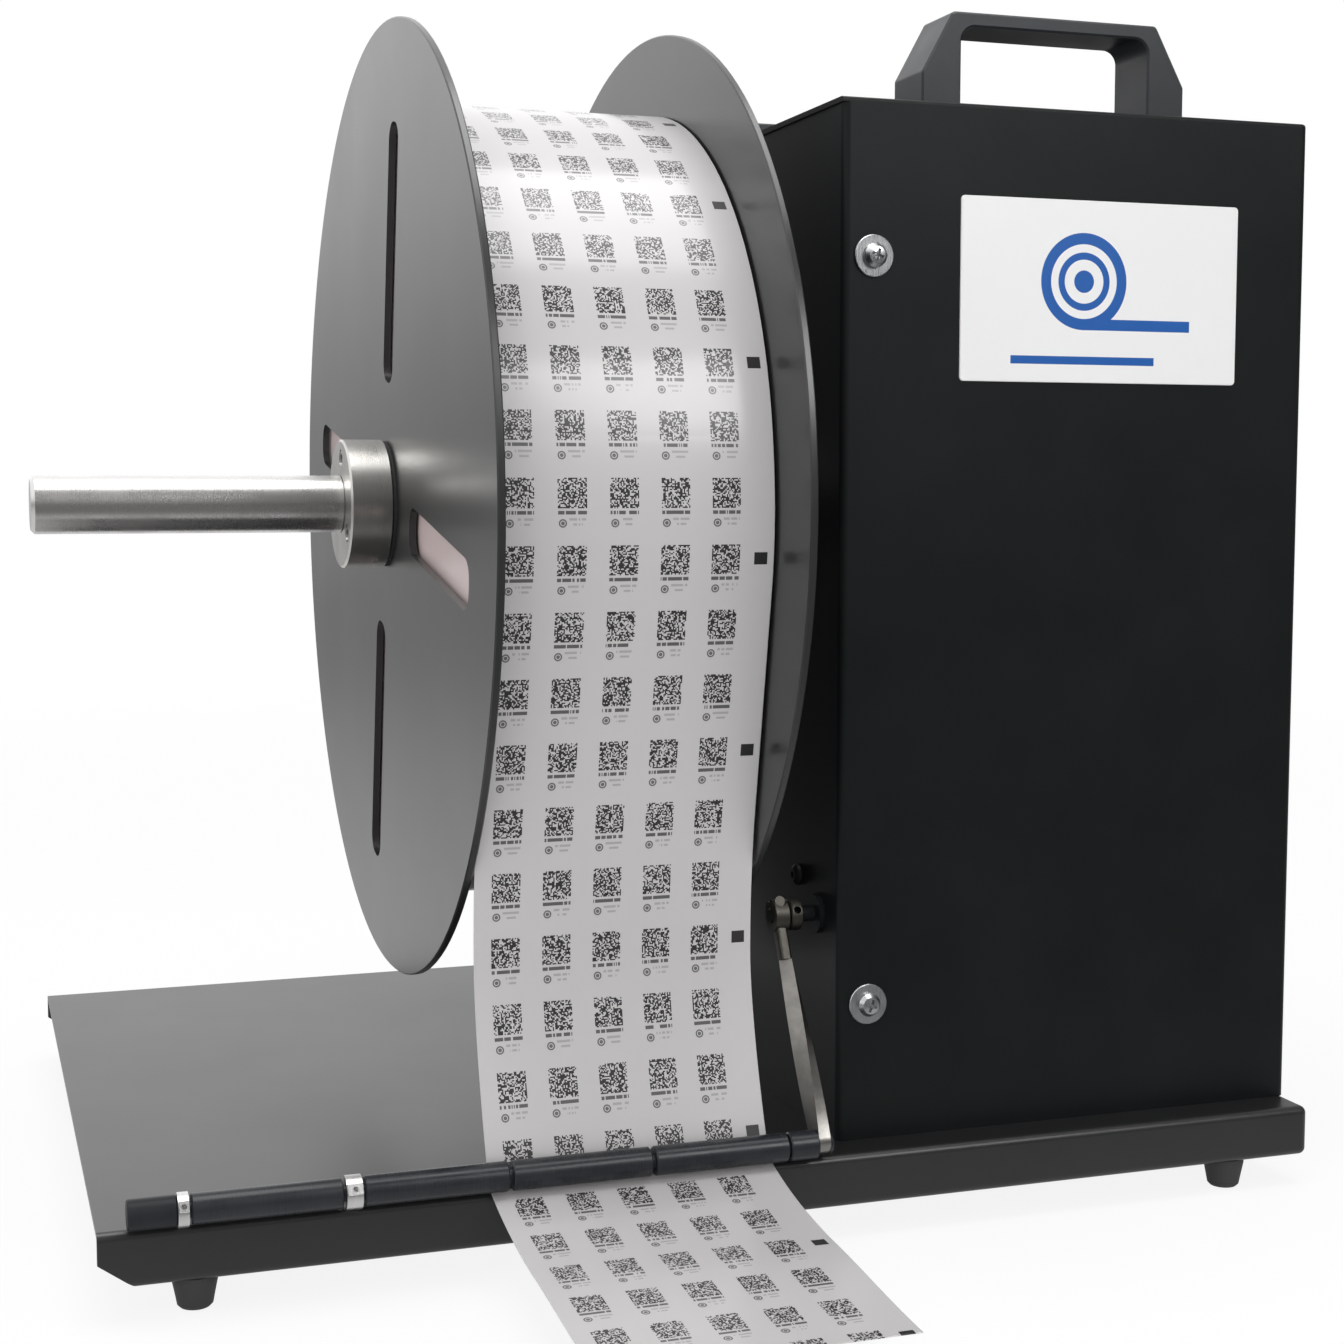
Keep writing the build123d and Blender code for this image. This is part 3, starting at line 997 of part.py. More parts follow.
def dc_inlet():
    """Round low-voltage inlet: threaded body, nut face, open bore and centre pin."""
    body = turned_x([(PANEL_BACK - 14, 0), (PANEL_BACK - 14, INLET_R - 0.1), (PANEL_FACE, INLET_R - 0.1),
                     (PANEL_FACE, INLET_R + 1.6), (PANEL_FACE + 2.0, INLET_R + 1.6),
                     (PANEL_FACE + 2.0, INLET_BORE_R), (PANEL_FACE - 7.5, INLET_BORE_R),
                     (PANEL_FACE - 7.5, 1.05), (PANEL_FACE + 0.8, 1.05), (PANEL_FACE + 0.8, 0)],
                    INLET_Y, INLET_Z)
    return body


BOARD_X = PLATE_INNER_X + STANDOFF_LENGTH
BOARD_BACK_Y = HOUSING_DEPTH - COVER_SHEET - PLATE_SHEET - BOARD_SETBACK
BOARD_LOW_Z = HOUSING_HEIGHT - COVER_SHEET - PLATE_HEADROOM - BOARD_TOP_MARGIN - BOARD_HEIGHT


def board_corners():
    """Standoff places, a little in from the board's corners."""
    ys = (BOARD_BACK_Y - BOARD_LENGTH + BOARD_HOLE_INSET, BOARD_BACK_Y - BOARD_HOLE_INSET)
    zs = (BOARD_LOW_Z + BOARD_HOLE_INSET, BOARD_LOW_Z + BOARD_HEIGHT - BOARD_HOLE_INSET)
    return [(y, z) for y in ys for z in zs]


def control_board():
    """Motor control board with a few of its larger components."""
    y1, z0 = BOARD_BACK_Y, BOARD_LOW_Z
    board = block(BOARD_X, BOARD_X + BOARD_SHEET, y1 - BOARD_LENGTH, y1, z0, z0 + BOARD_HEIGHT)
    top = BOARD_X + BOARD_SHEET
    board += block(top, top + HEAT_SINK_HEIGHT, y1 - BOARD_LENGTH * 0.35, y1 - BOARD_LENGTH * 0.15,
                   z0 + BOARD_HEIGHT * 0.17, z0 + BOARD_HEIGHT * 0.57)
    for share in (0.31, 0.57):
        board += rod_x(CAPACITOR_R, top, top + CAPACITOR_HEIGHT, y1 - BOARD_LENGTH * 0.52,
                       z0 + BOARD_HEIGHT * share)
    board += block(top, top + TERMINAL_HEIGHT, y1 - BOARD_LENGTH * 0.87, y1 - BOARD_LENGTH * 0.69,
                   z0 + BOARD_HEIGHT * 0.69, z0 + BOARD_HEIGHT * 0.86)
    for y, z in board_corners():
        board -= rod_x(SMALL_SCREW_R + SCREW_HOLE_FIT, BOARD_X - 1, top + 1, y, z)
    return board


def board_standoffs():
    return group(rod_x(3.0, PLATE_INNER_X, BOARD_X, y, z)
                 + rod_x(SMALL_SCREW_R, BOARD_X, BOARD_X + BOARD_SHEET + 2.5, y, z)
                 for y, z in board_corners())


# ================================================================== all nodes
PIECES = {
    "base_tray": base_tray,
    "rubber_feet": rubber_feet,
    "foot_screws": foot_screws,
    "housing_cover": housing_cover,
    "side_panel": side_panel,
    "bearing_plate": bearing_plate,
    "cover_screws": cover_screws,
    "cover_washers": cover_washers,
    "panel_screws": panel_screws,
    "plate_screws": plate_screws,
    "front_handle": lambda: Pos(HANDLE_X, HANDLE_YS[0], HOUSING_HEIGHT) * carry_handle(),
    "rear_handle": lambda: Pos(HANDLE_X, HANDLE_YS[1], HOUSING_HEIGHT) * carry_handle(),
    "handle_screws": handle_screws,
    "spindle_shaft": spindle_shaft,
    "inner_flange": lambda: flange_disc(INNER_FLANGE_X - FLANGE_SHEET),
    "inner_hub": inner_hub,
    "inner_hub_screws": inner_hub_screws,
    "roll_core": roll_core,
    "label_roll": label_roll,
    "outer_flange": lambda: flange_disc(OUTER_FLANGE_FACE),
    "hub_gasket": hub_gasket,
    "outer_hub": outer_hub,
    "outer_hub_screws": outer_hub_screws,
    "hub_lock_screw": lock_screws,
    "bearing_housing": bearing_housing,
    "mounting_screws": mounting_screws,
    "bearing_outer_rings": bearing_outer_rings,
    "bearing_inner_rings": bearing_inner_rings,
    "spindle_pulley": spindle_pulley,
    "motor_pulley": motor_pulley,
    "drive_belt": drive_belt,
    "motor_bracket": motor_bracket,
    "gear_motor": gear_motor,
    "dancer_head": dancer_head,
    "dancer_arm": dancer_arm,
    "head_clamp_screw": head_clamp_screw,
    "pivot_shaft": pivot_shaft,
    "arm_collar": arm_collar,
    "pivot_bush": pivot_bush,
    "sensor_bracket": sensor_bracket,
    "arm_sensor": arm_sensor,
    "sensor_screw": sensor_screw,
    "roller_rod": roller_rod,
    "bar_root_sleeve": lambda: bar_tube("bar_root_sleeve", ROLLER_R, SEAT_FIT),
    "guide_rings": guide_rings,
    "bar_end_cap": bar_end_cap,
    "label_web": label_web,
    "power_switch": lambda: rocker_frame(POWER_PLACE, SWITCH_BODY_X),
    "power_rocker": lambda: rocker(POWER_PLACE, SWITCH_LEAN),
    "direction_switch": lambda: rocker_frame(DIRECTION_PLACE, SWITCH_BODY_X),
    "direction_rocker": lambda: rocker(DIRECTION_PLACE, 0),
    "speed_knob": speed_knob,
    "speed_potentiometer": speed_potentiometer,
    "dc_inlet": dc_inlet,
    "control_board": control_board,
    "board_standoffs": board_standoffs,
}
for roller_number in range(1, ROLLER_COUNT + 1):
    roller_name = f"roller_{roller_number}"
    PIECES[roller_name] = lambda name=roller_name: bar_tube(name, ROLLER_R, RUNNING_FIT)


def main():
    os.makedirs("parts", exist_ok=True)
    for name, make in PIECES.items():
        export_step(PART_ORIGIN * make(), f"parts/{name}.step")


main()
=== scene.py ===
import math

import bmesh
import bpy
import numpy as np
from mathutils import Matrix, Vector


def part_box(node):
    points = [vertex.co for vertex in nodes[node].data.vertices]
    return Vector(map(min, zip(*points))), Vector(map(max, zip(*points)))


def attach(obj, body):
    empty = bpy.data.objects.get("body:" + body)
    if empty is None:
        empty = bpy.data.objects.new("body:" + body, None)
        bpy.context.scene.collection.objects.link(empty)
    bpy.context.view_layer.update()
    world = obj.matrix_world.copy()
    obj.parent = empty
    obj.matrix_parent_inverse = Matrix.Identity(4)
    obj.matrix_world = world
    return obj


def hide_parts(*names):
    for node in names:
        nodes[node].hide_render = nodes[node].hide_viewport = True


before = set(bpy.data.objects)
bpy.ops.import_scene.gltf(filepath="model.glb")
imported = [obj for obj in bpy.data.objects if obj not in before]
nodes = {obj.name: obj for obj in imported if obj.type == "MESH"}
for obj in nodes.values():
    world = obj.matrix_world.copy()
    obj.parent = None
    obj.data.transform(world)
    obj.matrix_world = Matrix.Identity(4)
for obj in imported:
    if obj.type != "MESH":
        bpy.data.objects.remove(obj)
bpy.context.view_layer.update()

# Label rewinder: what CAD made stays as it is and gets its finishes here. The loose web, the name plate
# and the dial scale are made here. Lengths are metres, and mm turns millimetres into metres.
mm = 0.001


# ------------------------------------------------------------------ places taken from the frame
roll_low, roll_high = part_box("label_roll")
cover_low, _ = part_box("housing_cover")
bar_low, bar_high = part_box("roller_3")
knob_low, knob_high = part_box("speed_knob")
spin_y = (roll_low.y + roll_high.y) / 2
spin_z = (roll_low.z + roll_high.z) / 2
roll_r = (roll_high.z - roll_low.z) / 2
bar_y = (bar_low.y + bar_high.y) / 2
bar_z = (bar_low.z + bar_high.z) / 2
bar_r = (bar_high.z - bar_low.z) / 2
knob_y = (knob_low.y + knob_high.y) / 2
knob_z = (knob_low.z + knob_high.z) / 2


# ------------------------------------------------------------------ node group helpers
class Group:
    """A shader node group under construction: sockets by name, and short calls for its maths."""

    def __init__(self, name, inputs, outputs):
        self.tree = bpy.data.node_groups.new(name, "ShaderNodeTree")
        for label, kind, value in inputs:
            socket = self.tree.interface.new_socket(name=label, in_out="INPUT", socket_type=kind)
            if value is not None:
                socket.default_value = value
        for label, kind in outputs:
            self.tree.interface.new_socket(name=label, in_out="OUTPUT", socket_type=kind)
        self.entry = self.tree.nodes.new("NodeGroupInput")
        self.exit = self.tree.nodes.new("NodeGroupOutput")

    def get(self, label):
        return self.entry.outputs[label]

    def put(self, label, source):
        self.tree.links.new(source, self.exit.inputs[label])

    def node(self, kind, **settings):
        made = self.tree.nodes.new(kind)
        for key, value in settings.items():
            setattr(made, key, value)
        return made

    def feed(self, socket, value):
        if isinstance(value, (int, float, tuple)):
            socket.default_value = value
        else:
            self.tree.links.new(value, socket)

    def math(self, operation, *values, clamp=False):
        made = self.node("ShaderNodeMath", operation=operation, use_clamp=clamp)
        for socket, value in zip(made.inputs, values):
            self.feed(socket, value)
        return made.outputs[0]

    def split(self, vector):
        made = self.node("ShaderNodeSeparateXYZ")
        self.feed(made.inputs[0], vector)
        return made.outputs[0], made.outputs[1], made.outputs[2]

    def join(self, x, y, z):
        made = self.node("ShaderNodeCombineXYZ")
        for socket, value in zip(made.inputs, (x, y, z)):
            self.feed(socket, value)
        return made.outputs[0]

    def noise(self, vector, scale, detail=2.0, rough=0.5):
        made = self.node("ShaderNodeTexNoise")
        self.feed(made.inputs["Vector"], vector)
        self.feed(made.inputs["Scale"], scale)
        self.feed(made.inputs["Detail"], detail)
        self.feed(made.inputs["Roughness"], rough)
        return made.outputs["Fac"]

    def random(self, vector):
        made = self.node("ShaderNodeTexWhiteNoise", noise_dimensions="3D")
        self.feed(made.inputs["Vector"], vector)
        return made.outputs["Value"]

    def remap(self, value, low, high, to_low, to_high):
        made = self.node("ShaderNodeMapRange")
        for label, number in (("From Min", low), ("From Max", high), ("To Min", to_low), ("To Max", to_high)):
            self.feed(made.inputs[label], number)
        self.feed(made.inputs["Value"], value)
        return made.outputs[0]

    def blend(self, factor, first, second):
        made = self.node("ShaderNodeMix", data_type="RGBA")
        self.feed(made.inputs[0], factor)
        self.feed(made.inputs[6], first)
        self.feed(made.inputs[7], second)
        return made.outputs[2]

    def between(self, value, low, high):
        """1 where value lies from low to high, else 0."""
        return self.math("MULTIPLY", self.math("GREATER_THAN", value, low),
                         self.math("LESS_THAN", value, high))


def make_powder_coat():
    """Fine peel of a baked powder coat: two noises about 1.5 mm and 0.4 mm wide give the height, a third one,
    60 mm wide, shifts the roughness and the colour a little, as handling does."""
    g = Group("powder_coat", [("Colour", "NodeSocketColor", (0.02, 0.02, 0.02, 1)),
                              ("Roughness", "NodeSocketFloat", 0.4), ("Haze", "NodeSocketFloat", 0.06)],
              [("Colour", "NodeSocketColor"), ("Roughness", "NodeSocketFloat"), ("Height", "NodeSocketFloat")])
    place = g.node("ShaderNodeTexCoord").outputs["Object"]
    peel = g.noise(place, 650.0, 2.0)
    grit = g.noise(place, 2500.0, 1.0)
    haze = g.noise(place, 16.0, 4.0, 0.6)
    g.put("Height", g.math("ADD", peel, g.math("MULTIPLY", grit, 0.35)))
    shift = g.math("MULTIPLY", g.math("SUBTRACT", haze, 0.5), g.get("Haze"))
    g.put("Roughness", g.math("ADD", g.get("Roughness"), shift))
    lift = g.remap(haze, 0.35, 0.7, 0.0, 0.03)
    g.put("Colour", g.blend(lift, g.get("Colour"), (0.09, 0.09, 0.092, 1)))
    return g.tree


def make_turned_metal():
    """Lathe lines about the X axis: a noise of x alone, 0.15 mm wide, and one of the distance from the axis
    for end faces, mixed with broad stains. Centre is the axis as (0, y, z)."""
    g = Group("turned_metal", [("Centre", "NodeSocketVector", (0, 0, 0)),
                               ("Colour", "NodeSocketColor", (0.6, 0.6, 0.6, 1)),
                               ("Roughness", "NodeSocketFloat", 0.3), ("Stain", "NodeSocketFloat", 1.0)],
              [("Colour", "NodeSocketColor"), ("Roughness", "NodeSocketFloat"), ("Height", "NodeSocketFloat")])
    place = g.node("ShaderNodeTexCoord").outputs["Object"]
    offset = g.node("ShaderNodeVectorMath", operation="SUBTRACT")
    g.feed(offset.inputs[0], place)
    g.feed(offset.inputs[1], g.get("Centre"))
    x, y, z = g.split(offset.outputs[0])
    away = g.math("SQRT", g.math("ADD", g.math("MULTIPLY", y, y), g.math("MULTIPLY", z, z)))
    lines = g.noise(g.join(g.math("MULTIPLY", x, 6000.0), g.math("MULTIPLY", away, 6000.0), 0.0), 1.0, 2.0)
    stains = g.noise(place, 55.0, 4.0, 0.6)
    g.put("Height", lines)
    rough = g.math("ADD", g.get("Roughness"), g.remap(lines, 0.3, 0.7, -0.05, 0.06))
    g.put("Roughness", g.math("ADD", rough, g.remap(stains, 0.3, 0.7, -0.05, 0.08)))
    tone = g.remap(g.math("ADD", g.math("MULTIPLY", lines, 0.4), g.math("MULTIPLY", stains, 0.6)),
                   0.35, 0.65, 0.0, 1.0)
    g.put("Colour", g.blend(g.math("MULTIPLY", tone, g.get("Stain")), g.get("Colour"),
                            (0.42, 0.41, 0.40, 1)))
    return g.tree


def make_brushed():
    """Straight brushing along Z: a noise that is stretched 60 times along Z."""
    g = Group("brushed_sheet", [("Colour", "NodeSocketColor", (0.6, 0.6, 0.6, 1)),
                                ("Roughness", "NodeSocketFloat", 0.3)],
              [("Colour", "NodeSocketColor"), ("Roughness", "NodeSocketFloat"), ("Height", "NodeSocketFloat")])
    place = g.node("ShaderNodeTexCoord").outputs["Object"]
    stretch = g.node("ShaderNodeMapping")
    g.feed(stretch.inputs["Vector"], place)
    stretch.inputs["Scale"].default_value = (3500.0, 3500.0, 60.0)
    lines = g.noise(stretch.outputs[0], 1.0, 2.0)
    spots = g.noise(place, 180.0, 3.0)
    g.put("Height", lines)
    g.put("Roughness", g.math("ADD", g.get("Roughness"), g.remap(lines, 0.3, 0.7, -0.06, 0.08)))
    worn = g.node("ShaderNodeVectorMath", operation="SCALE")
    g.feed(worn.inputs[0], g.get("Colour"))
    g.feed(worn.inputs["Scale"], 0.72)
    g.put("Colour", g.blend(g.remap(spots, 0.4, 0.7, 0.0, 0.8), g.get("Colour"), worn.outputs[0]))
    return g.tree


def make_moulded():
    """Moulded plastic: sparse grain 0.5 mm wide and slight wear haze."""
    g = Group("moulded_plastic", [("Colour", "NodeSocketColor", (0.02, 0.02, 0.02, 1)),
                                  ("Roughness", "NodeSocketFloat", 0.4)],
              [("Colour", "NodeSocketColor"), ("Roughness", "NodeSocketFloat"), ("Height", "NodeSocketFloat")])
    place = g.node("ShaderNodeTexCoord").outputs["Object"]
    grain = g.noise(place, 1800.0, 2.0)
    haze = g.noise(place, 45.0, 3.0)
    g.put("Height", grain)
    g.put("Roughness", g.math("ADD", g.get("Roughness"), g.remap(haze, 0.3, 0.7, -0.04, 0.06)))
    g.put("Colour", g.blend(g.remap(haze, 0.45, 0.75, 0.0, 0.2), g.get("Colour"), (0.08, 0.08, 0.085, 1)))
    return g.tree


# ------------------------------------------------------------------ label print
# The print's layout in millimetres. Marks and rows are placed along the web from where it leaves the roll.
COLUMN_PITCH = 19.7
ROW_PITCH = 24.5
FIRST_COLUMN = 6.7
CODE_SIZE = 11.0
CODE_MODULES = 22
CODE_BLANK_SHARE = 0.42
MARK_PITCH = 3 * ROW_PITCH
MARK_CENTRE = -13.3
FIRST_ROW = MARK_CENTRE - 5.3
LOOSE_STRETCH = 1.018


def make_label_print():
    """Printed labels on (across, along) in millimetres. The plane is cut into cells of one column by one row.
    In each cell: a square patch of random squares, a row of dashes, a small ring and two faint dashed lines.
    A black feed mark stands by every third row near the right edge."""
    g = Group("label_print", [("Place", "NodeSocketVector", (0, 0, 0))],
              [("Ink", "NodeSocketFloat"), ("Faint", "NodeSocketFloat")])
    across, along, _ = g.split(g.get("Place"))
    u = g.math("DIVIDE", g.math("SUBTRACT", across, FIRST_COLUMN), COLUMN_PITCH)
    v = g.math("DIVIDE", g.math("SUBTRACT", along, FIRST_ROW), ROW_PITCH)
    column, row = g.math("FLOOR", u), g.math("FLOOR", v)
    x = g.math("MULTIPLY", g.math("SUBTRACT", u, column), COLUMN_PITCH)
    y = g.math("MULTIPLY", g.math("SUBTRACT", v, row), ROW_PITCH)
    in_columns = g.between(column, -0.5, 4.5)
    module = CODE_SIZE / CODE_MODULES
    in_code = g.math("MULTIPLY", g.between(x, 0.0, CODE_SIZE), g.between(y, 0.0, CODE_SIZE))
    mx, my = g.math("FLOOR", g.math("DIVIDE", x, module)), g.math("FLOOR", g.math("DIVIDE", y, module))
    seed = g.join(g.math("ADD", mx, g.math("MULTIPLY", column, 37.0)),
                  g.math("ADD", my, g.math("MULTIPLY", row, 41.0)), 3.0)
    modules = g.math("GREATER_THAN", g.random(seed), CODE_BLANK_SHARE)
    code_ink = g.math("MULTIPLY", modules, in_code)
    dash_seed = g.join(g.math("FLOOR", g.math("DIVIDE", x, 0.42)), g.math("MULTIPLY", row, 7.0), column)
    dashes = g.math("MULTIPLY", g.math("GREATER_THAN", g.random(dash_seed), 0.16),
                    g.math("MULTIPLY", g.between(y, 11.9, 13.2), g.between(x, 0.1, 10.9)))
    rx, ry = g.math("SUBTRACT", x, 1.9), g.math("SUBTRACT", y, 16.4)
    away = g.math("SQRT", g.math("ADD", g.math("MULTIPLY", rx, rx), g.math("MULTIPLY", ry, ry)))
    ring = g.math("ADD", g.between(away, 1.0, 1.55), g.math("LESS_THAN", away, 0.7))
    faint_seed = g.join(g.math("FLOOR", g.math("DIVIDE", x, 0.6)), row, g.math("ADD", column, 9.0))
    faint_dots = g.math("GREATER_THAN", g.random(faint_seed), 0.22)
    first_line = g.math("MULTIPLY", g.between(y, 14.5, 15.4), g.between(x, 4.3, 10.6))
    second_line = g.math("MULTIPLY", g.between(y, 16.4, 17.2), g.between(x, 5.8, 9.4))
    faint = g.math("MULTIPLY", faint_dots, g.math("ADD", first_line, second_line))
    turn = g.math("DIVIDE", g.math("SUBTRACT", along, MARK_CENTRE - MARK_PITCH / 2), MARK_PITCH)
    from_mark = g.math("ABSOLUTE", g.math("MULTIPLY", g.math("SUBTRACT", g.math("FRACT", turn), 0.5), MARK_PITCH))
    mark = g.math("MULTIPLY", g.math("LESS_THAN", from_mark, 2.3), g.between(across, 102.2, 107.4))
    printed = g.math("ADD", code_ink, g.math("ADD", g.math("MULTIPLY", dashes, 0.85),
                                             g.math("MULTIPLY", ring, 0.8)))
    g.put("Ink", g.math("MAXIMUM", g.math("MULTIPLY", printed, in_columns), mark))
    g.put("Faint", g.math("MULTIPLY", faint, in_columns))
    return g.tree


def make_roll_wrap():
    """Place on the roll's outside as (across, along) in millimetres: along is the radius times the angle from
    the point where the web leaves, and Side is 1 on the flat sides, where Rings gives the wound layers."""
    g = Group("roll_wrap", [("Leave Angle", "NodeSocketFloat", 0.2)],
              [("Place", "NodeSocketVector"), ("Side", "NodeSocketFloat"), ("Rings", "NodeSocketFloat")])
    place = g.node("ShaderNodeTexCoord").outputs["Object"]
    x, y, z = g.split(place)
    fore, down = g.math("SUBTRACT", spin_y, y), g.math("SUBTRACT", spin_z, z)
    angle = g.math("SUBTRACT", g.math("ARCTAN2", down, fore), g.get("Leave Angle"))
    across = g.math("MULTIPLY", g.math("SUBTRACT", x, roll_low.x), 1000.0)
    g.put("Place", g.join(across, g.math("MULTIPLY", angle, roll_r * 1000.0), 0.0))
    away = g.math("SQRT", g.math("ADD", g.math("MULTIPLY", fore, fore), g.math("MULTIPLY", down, down)))
    g.put("Side", g.math("LESS_THAN", away, roll_r - 0.0002))
    rings = g.noise(g.join(g.math("MULTIPLY", away, 5200.0), g.math("MULTIPLY", angle, 1.3), 0.0), 1.0, 3.0, 0.6)
    bands = g.noise(g.join(g.math("MULTIPLY", away, 260.0), g.math("MULTIPLY", angle, 0.6), 5.0), 1.0, 2.0)
    g.put("Rings", g.math("ADD", g.math("MULTIPLY", rings, 0.6), g.math("MULTIPLY", bands, 0.4)))
    return g.tree


def make_shape_mask():
    """Box mask on (x, y): 1 inside a box of half size (a, b) about (cx, cy)."""
    g = Group("box_mask", [("X", "NodeSocketFloat", 0.0), ("Y", "NodeSocketFloat", 0.0),
                           ("Centre X", "NodeSocketFloat", 0.0), ("Centre Y", "NodeSocketFloat", 0.0),
                           ("Half X", "NodeSocketFloat", 1.0), ("Half Y", "NodeSocketFloat", 1.0)],
              [("Mask", "NodeSocketFloat")])
    dx = g.math("ABSOLUTE", g.math("SUBTRACT", g.get("X"), g.get("Centre X")))
    dy = g.math("ABSOLUTE", g.math("SUBTRACT", g.get("Y"), g.get("Centre Y")))
    g.put("Mask", g.math("MULTIPLY", g.math("LESS_THAN", dx, g.get("Half X")),
                         g.math("LESS_THAN", dy, g.get("Half Y"))))
    return g.tree


powder_coat = make_powder_coat()
turned_metal = make_turned_metal()
brushed_sheet = make_brushed()
moulded_plastic = make_moulded()
label_print = make_label_print()
roll_wrap = make_roll_wrap()
box_mask = make_shape_mask()


# ------------------------------------------------------------------ material helpers
def new_material(name):
    made = bpy.data.materials.new(name)
    made.use_nodes = True
    return made, made.node_tree, made.node_tree.nodes["Principled BSDF"]


def set_shader(shader, **values):
    for label, value in values.items():
        shader.inputs[label.replace("_", " ")].default_value = value


def add_group(tree, group, **values):
    made = tree.nodes.new("ShaderNodeGroup")
    made.node_tree = group
    for label, value in values.items():
        made.inputs[label.replace("_", " ")].default_value = value
    return made


def add_bump(tree, shader, height, strength, distance):
    bump = tree.nodes.new("ShaderNodeBump")
    bump.inputs["Strength"].default_value = strength
    bump.inputs["Distance"].default_value = distance
    tree.links.new(height, bump.inputs["Height"])
    tree.links.new(bump.outputs[0], shader.inputs["Normal"])


def finish_from(name, group, bump, distance, group_values, shader_values):
    """A material whose colour, roughness and height come from one finish group."""
    made, tree, shader = new_material(name)
    finish = add_group(tree, group, **group_values)
    tree.links.new(finish.outputs["Colour"], shader.inputs["Base Color"])
    tree.links.new(finish.outputs["Roughness"], shader.inputs["Roughness"])
    add_bump(tree, shader, finish.outputs["Height"], bump, distance)
    set_shader(shader, **shader_values)
    return made


def coated(name, colour, roughness, bump=0.12, haze=0.06, specular=0.5):
    return finish_from(name, powder_coat, bump, 0.0002,
                       {"Colour": (*colour, 1), "Roughness": roughness, "Haze": haze},
                       {"Specular_IOR_Level": specular})


def turned(name, colour, roughness, centre, bump=0.15, stain=1.0, metallic=1.0, specular=0.5):
    return finish_from(name, turned_metal, bump, 0.00005,
                       {"Colour": (*colour, 1), "Roughness": roughness, "Centre": centre, "Stain": stain},
                       {"Metallic": metallic, "Specular_IOR_Level": specular})


def brushed(name, colour, roughness, bump=0.15):
    return finish_from(name, brushed_sheet, bump, 0.00005,
                       {"Colour": (*colour, 1), "Roughness": roughness}, {"Metallic": 1.0})


def moulded(name, colour, roughness, bump=0.1, specular=0.5):
    return finish_from(name, moulded_plastic, bump, 0.0001,
                       {"Colour": (*colour, 1), "Roughness": roughness}, {"Specular_IOR_Level": specular})


def join_maths(tree, operation, *values):
    made = tree.nodes.new("ShaderNodeMath")
    made.operation = operation
    for socket, value in zip(made.inputs, values):
        if isinstance(value, (int, float)):
            socket.default_value = value
        else:
            tree.links.new(value, socket)
    return made.outputs[0]


def distance_from(tree, first, second):
    """Length of the vector (first, second)."""
    return join_maths(tree, "SQRT", join_maths(tree, "ADD", join_maths(tree, "MULTIPLY", first, first),
                                               join_maths(tree, "MULTIPLY", second, second)))


def remap_value(tree, value, low, high, to_low, to_high, smooth=False):
    """Value from low to high turned into to_low to to_high, and held there outside that range."""
    made = tree.nodes.new("ShaderNodeMapRange")
    if smooth:
        made.interpolation_type = "SMOOTHSTEP"
    for label, number in (("From Min", low), ("From Max", high), ("To Min", to_low), ("To Max", to_high)):
        made.inputs[label].default_value = number
    tree.links.new(value, made.inputs["Value"])
    return made.outputs[0]


def object_place(tree):
    """The point in object coordinates, whole and as x, y and z."""
    point = tree.nodes.new("ShaderNodeTexCoord").outputs["Object"]
    parts = tree.nodes.new("ShaderNodeSeparateXYZ")
    tree.links.new(point, parts.inputs[0])
    return point, parts.outputs[0], parts.outputs[1], parts.outputs[2]


def mix_colours(tree, factor, first, second):
    made = tree.nodes.new("ShaderNodeMix")
    made.data_type = "RGBA"
    tree.links.new(factor, made.inputs[0])
    for socket, value in ((made.inputs[6], first), (made.inputs[7], second)):
        if isinstance(value, tuple):
            socket.default_value = value
        else:
            tree.links.new(value, socket)
    return made.outputs[2]


spindle_axis = (0.0, spin_y, spin_z)
bar_axis = (0.0, bar_y, bar_z)

cover_paint = coated("black_powder_coat", (0.0060, 0.0072, 0.0076), 0.42, bump=0.10, specular=0.16)
tray_paint = coated("tray_powder_coat", (0.012, 0.0125, 0.013), 0.34, bump=0.08)
flange_paint = coated("flange_satin_paint", (0.018, 0.0185, 0.0185), 0.29, bump=0.04, specular=0.6)
shaft_steel = turned("ground_shaft_steel", (0.62, 0.61, 0.60), 0.26, spindle_axis, 0.03, stain=0.4)
hub_steel = turned("turned_hub_steel", (0.58, 0.57, 0.54), 0.33, spindle_axis, 0.3)
bar_black = turned("black_anodised_bar", (0.016, 0.018, 0.022), 0.26, bar_axis, 0.06, stain=0.02,
                   metallic=0.0, specular=0.28)
cap_black = turned("black_anodised_cap", (0.014, 0.016, 0.019), 0.34, bar_axis, 0.06, stain=0.02,
                   metallic=0.0, specular=0.10)
ring_steel = turned("bright_ring_steel", (0.68, 0.68, 0.68), 0.30, bar_axis, stain=0.4)
arm_steel = brushed("brushed_arm_steel", (0.26, 0.25, 0.235), 0.34)
head_steel = brushed("cast_head_steel", (0.10, 0.095, 0.083), 0.48, 0.4)
zinc = brushed("zinc_plated_steel", (0.53, 0.54, 0.55), 0.28)
mill_steel = brushed("mill_finish_steel", (0.42, 0.42, 0.43), 0.42)
pulley_aluminium = turned("turned_aluminium", (0.66, 0.66, 0.67), 0.32, spindle_axis)
handle_plastic = moulded("handle_plastic", (0.022, 0.025, 0.029), 0.40, specular=0.32)
dark_plastic = moulded("switch_plastic", (0.018, 0.018, 0.019), 0.45)
foot_rubber = moulded("foot_rubber", (0.030, 0.030, 0.031), 0.72, 0.3)
belt_rubber = moulded("belt_rubber", (0.030, 0.024, 0.020), 0.6, 0.2)
fibre = moulded("gasket_fibre", (0.020, 0.020, 0.020), 0.8, 0.3)
core_card = moulded("core_card", (0.42, 0.33, 0.24), 0.85, 0.4)
board_green = moulded("solder_mask", (0.02, 0.11, 0.045), 0.3, 0.1)


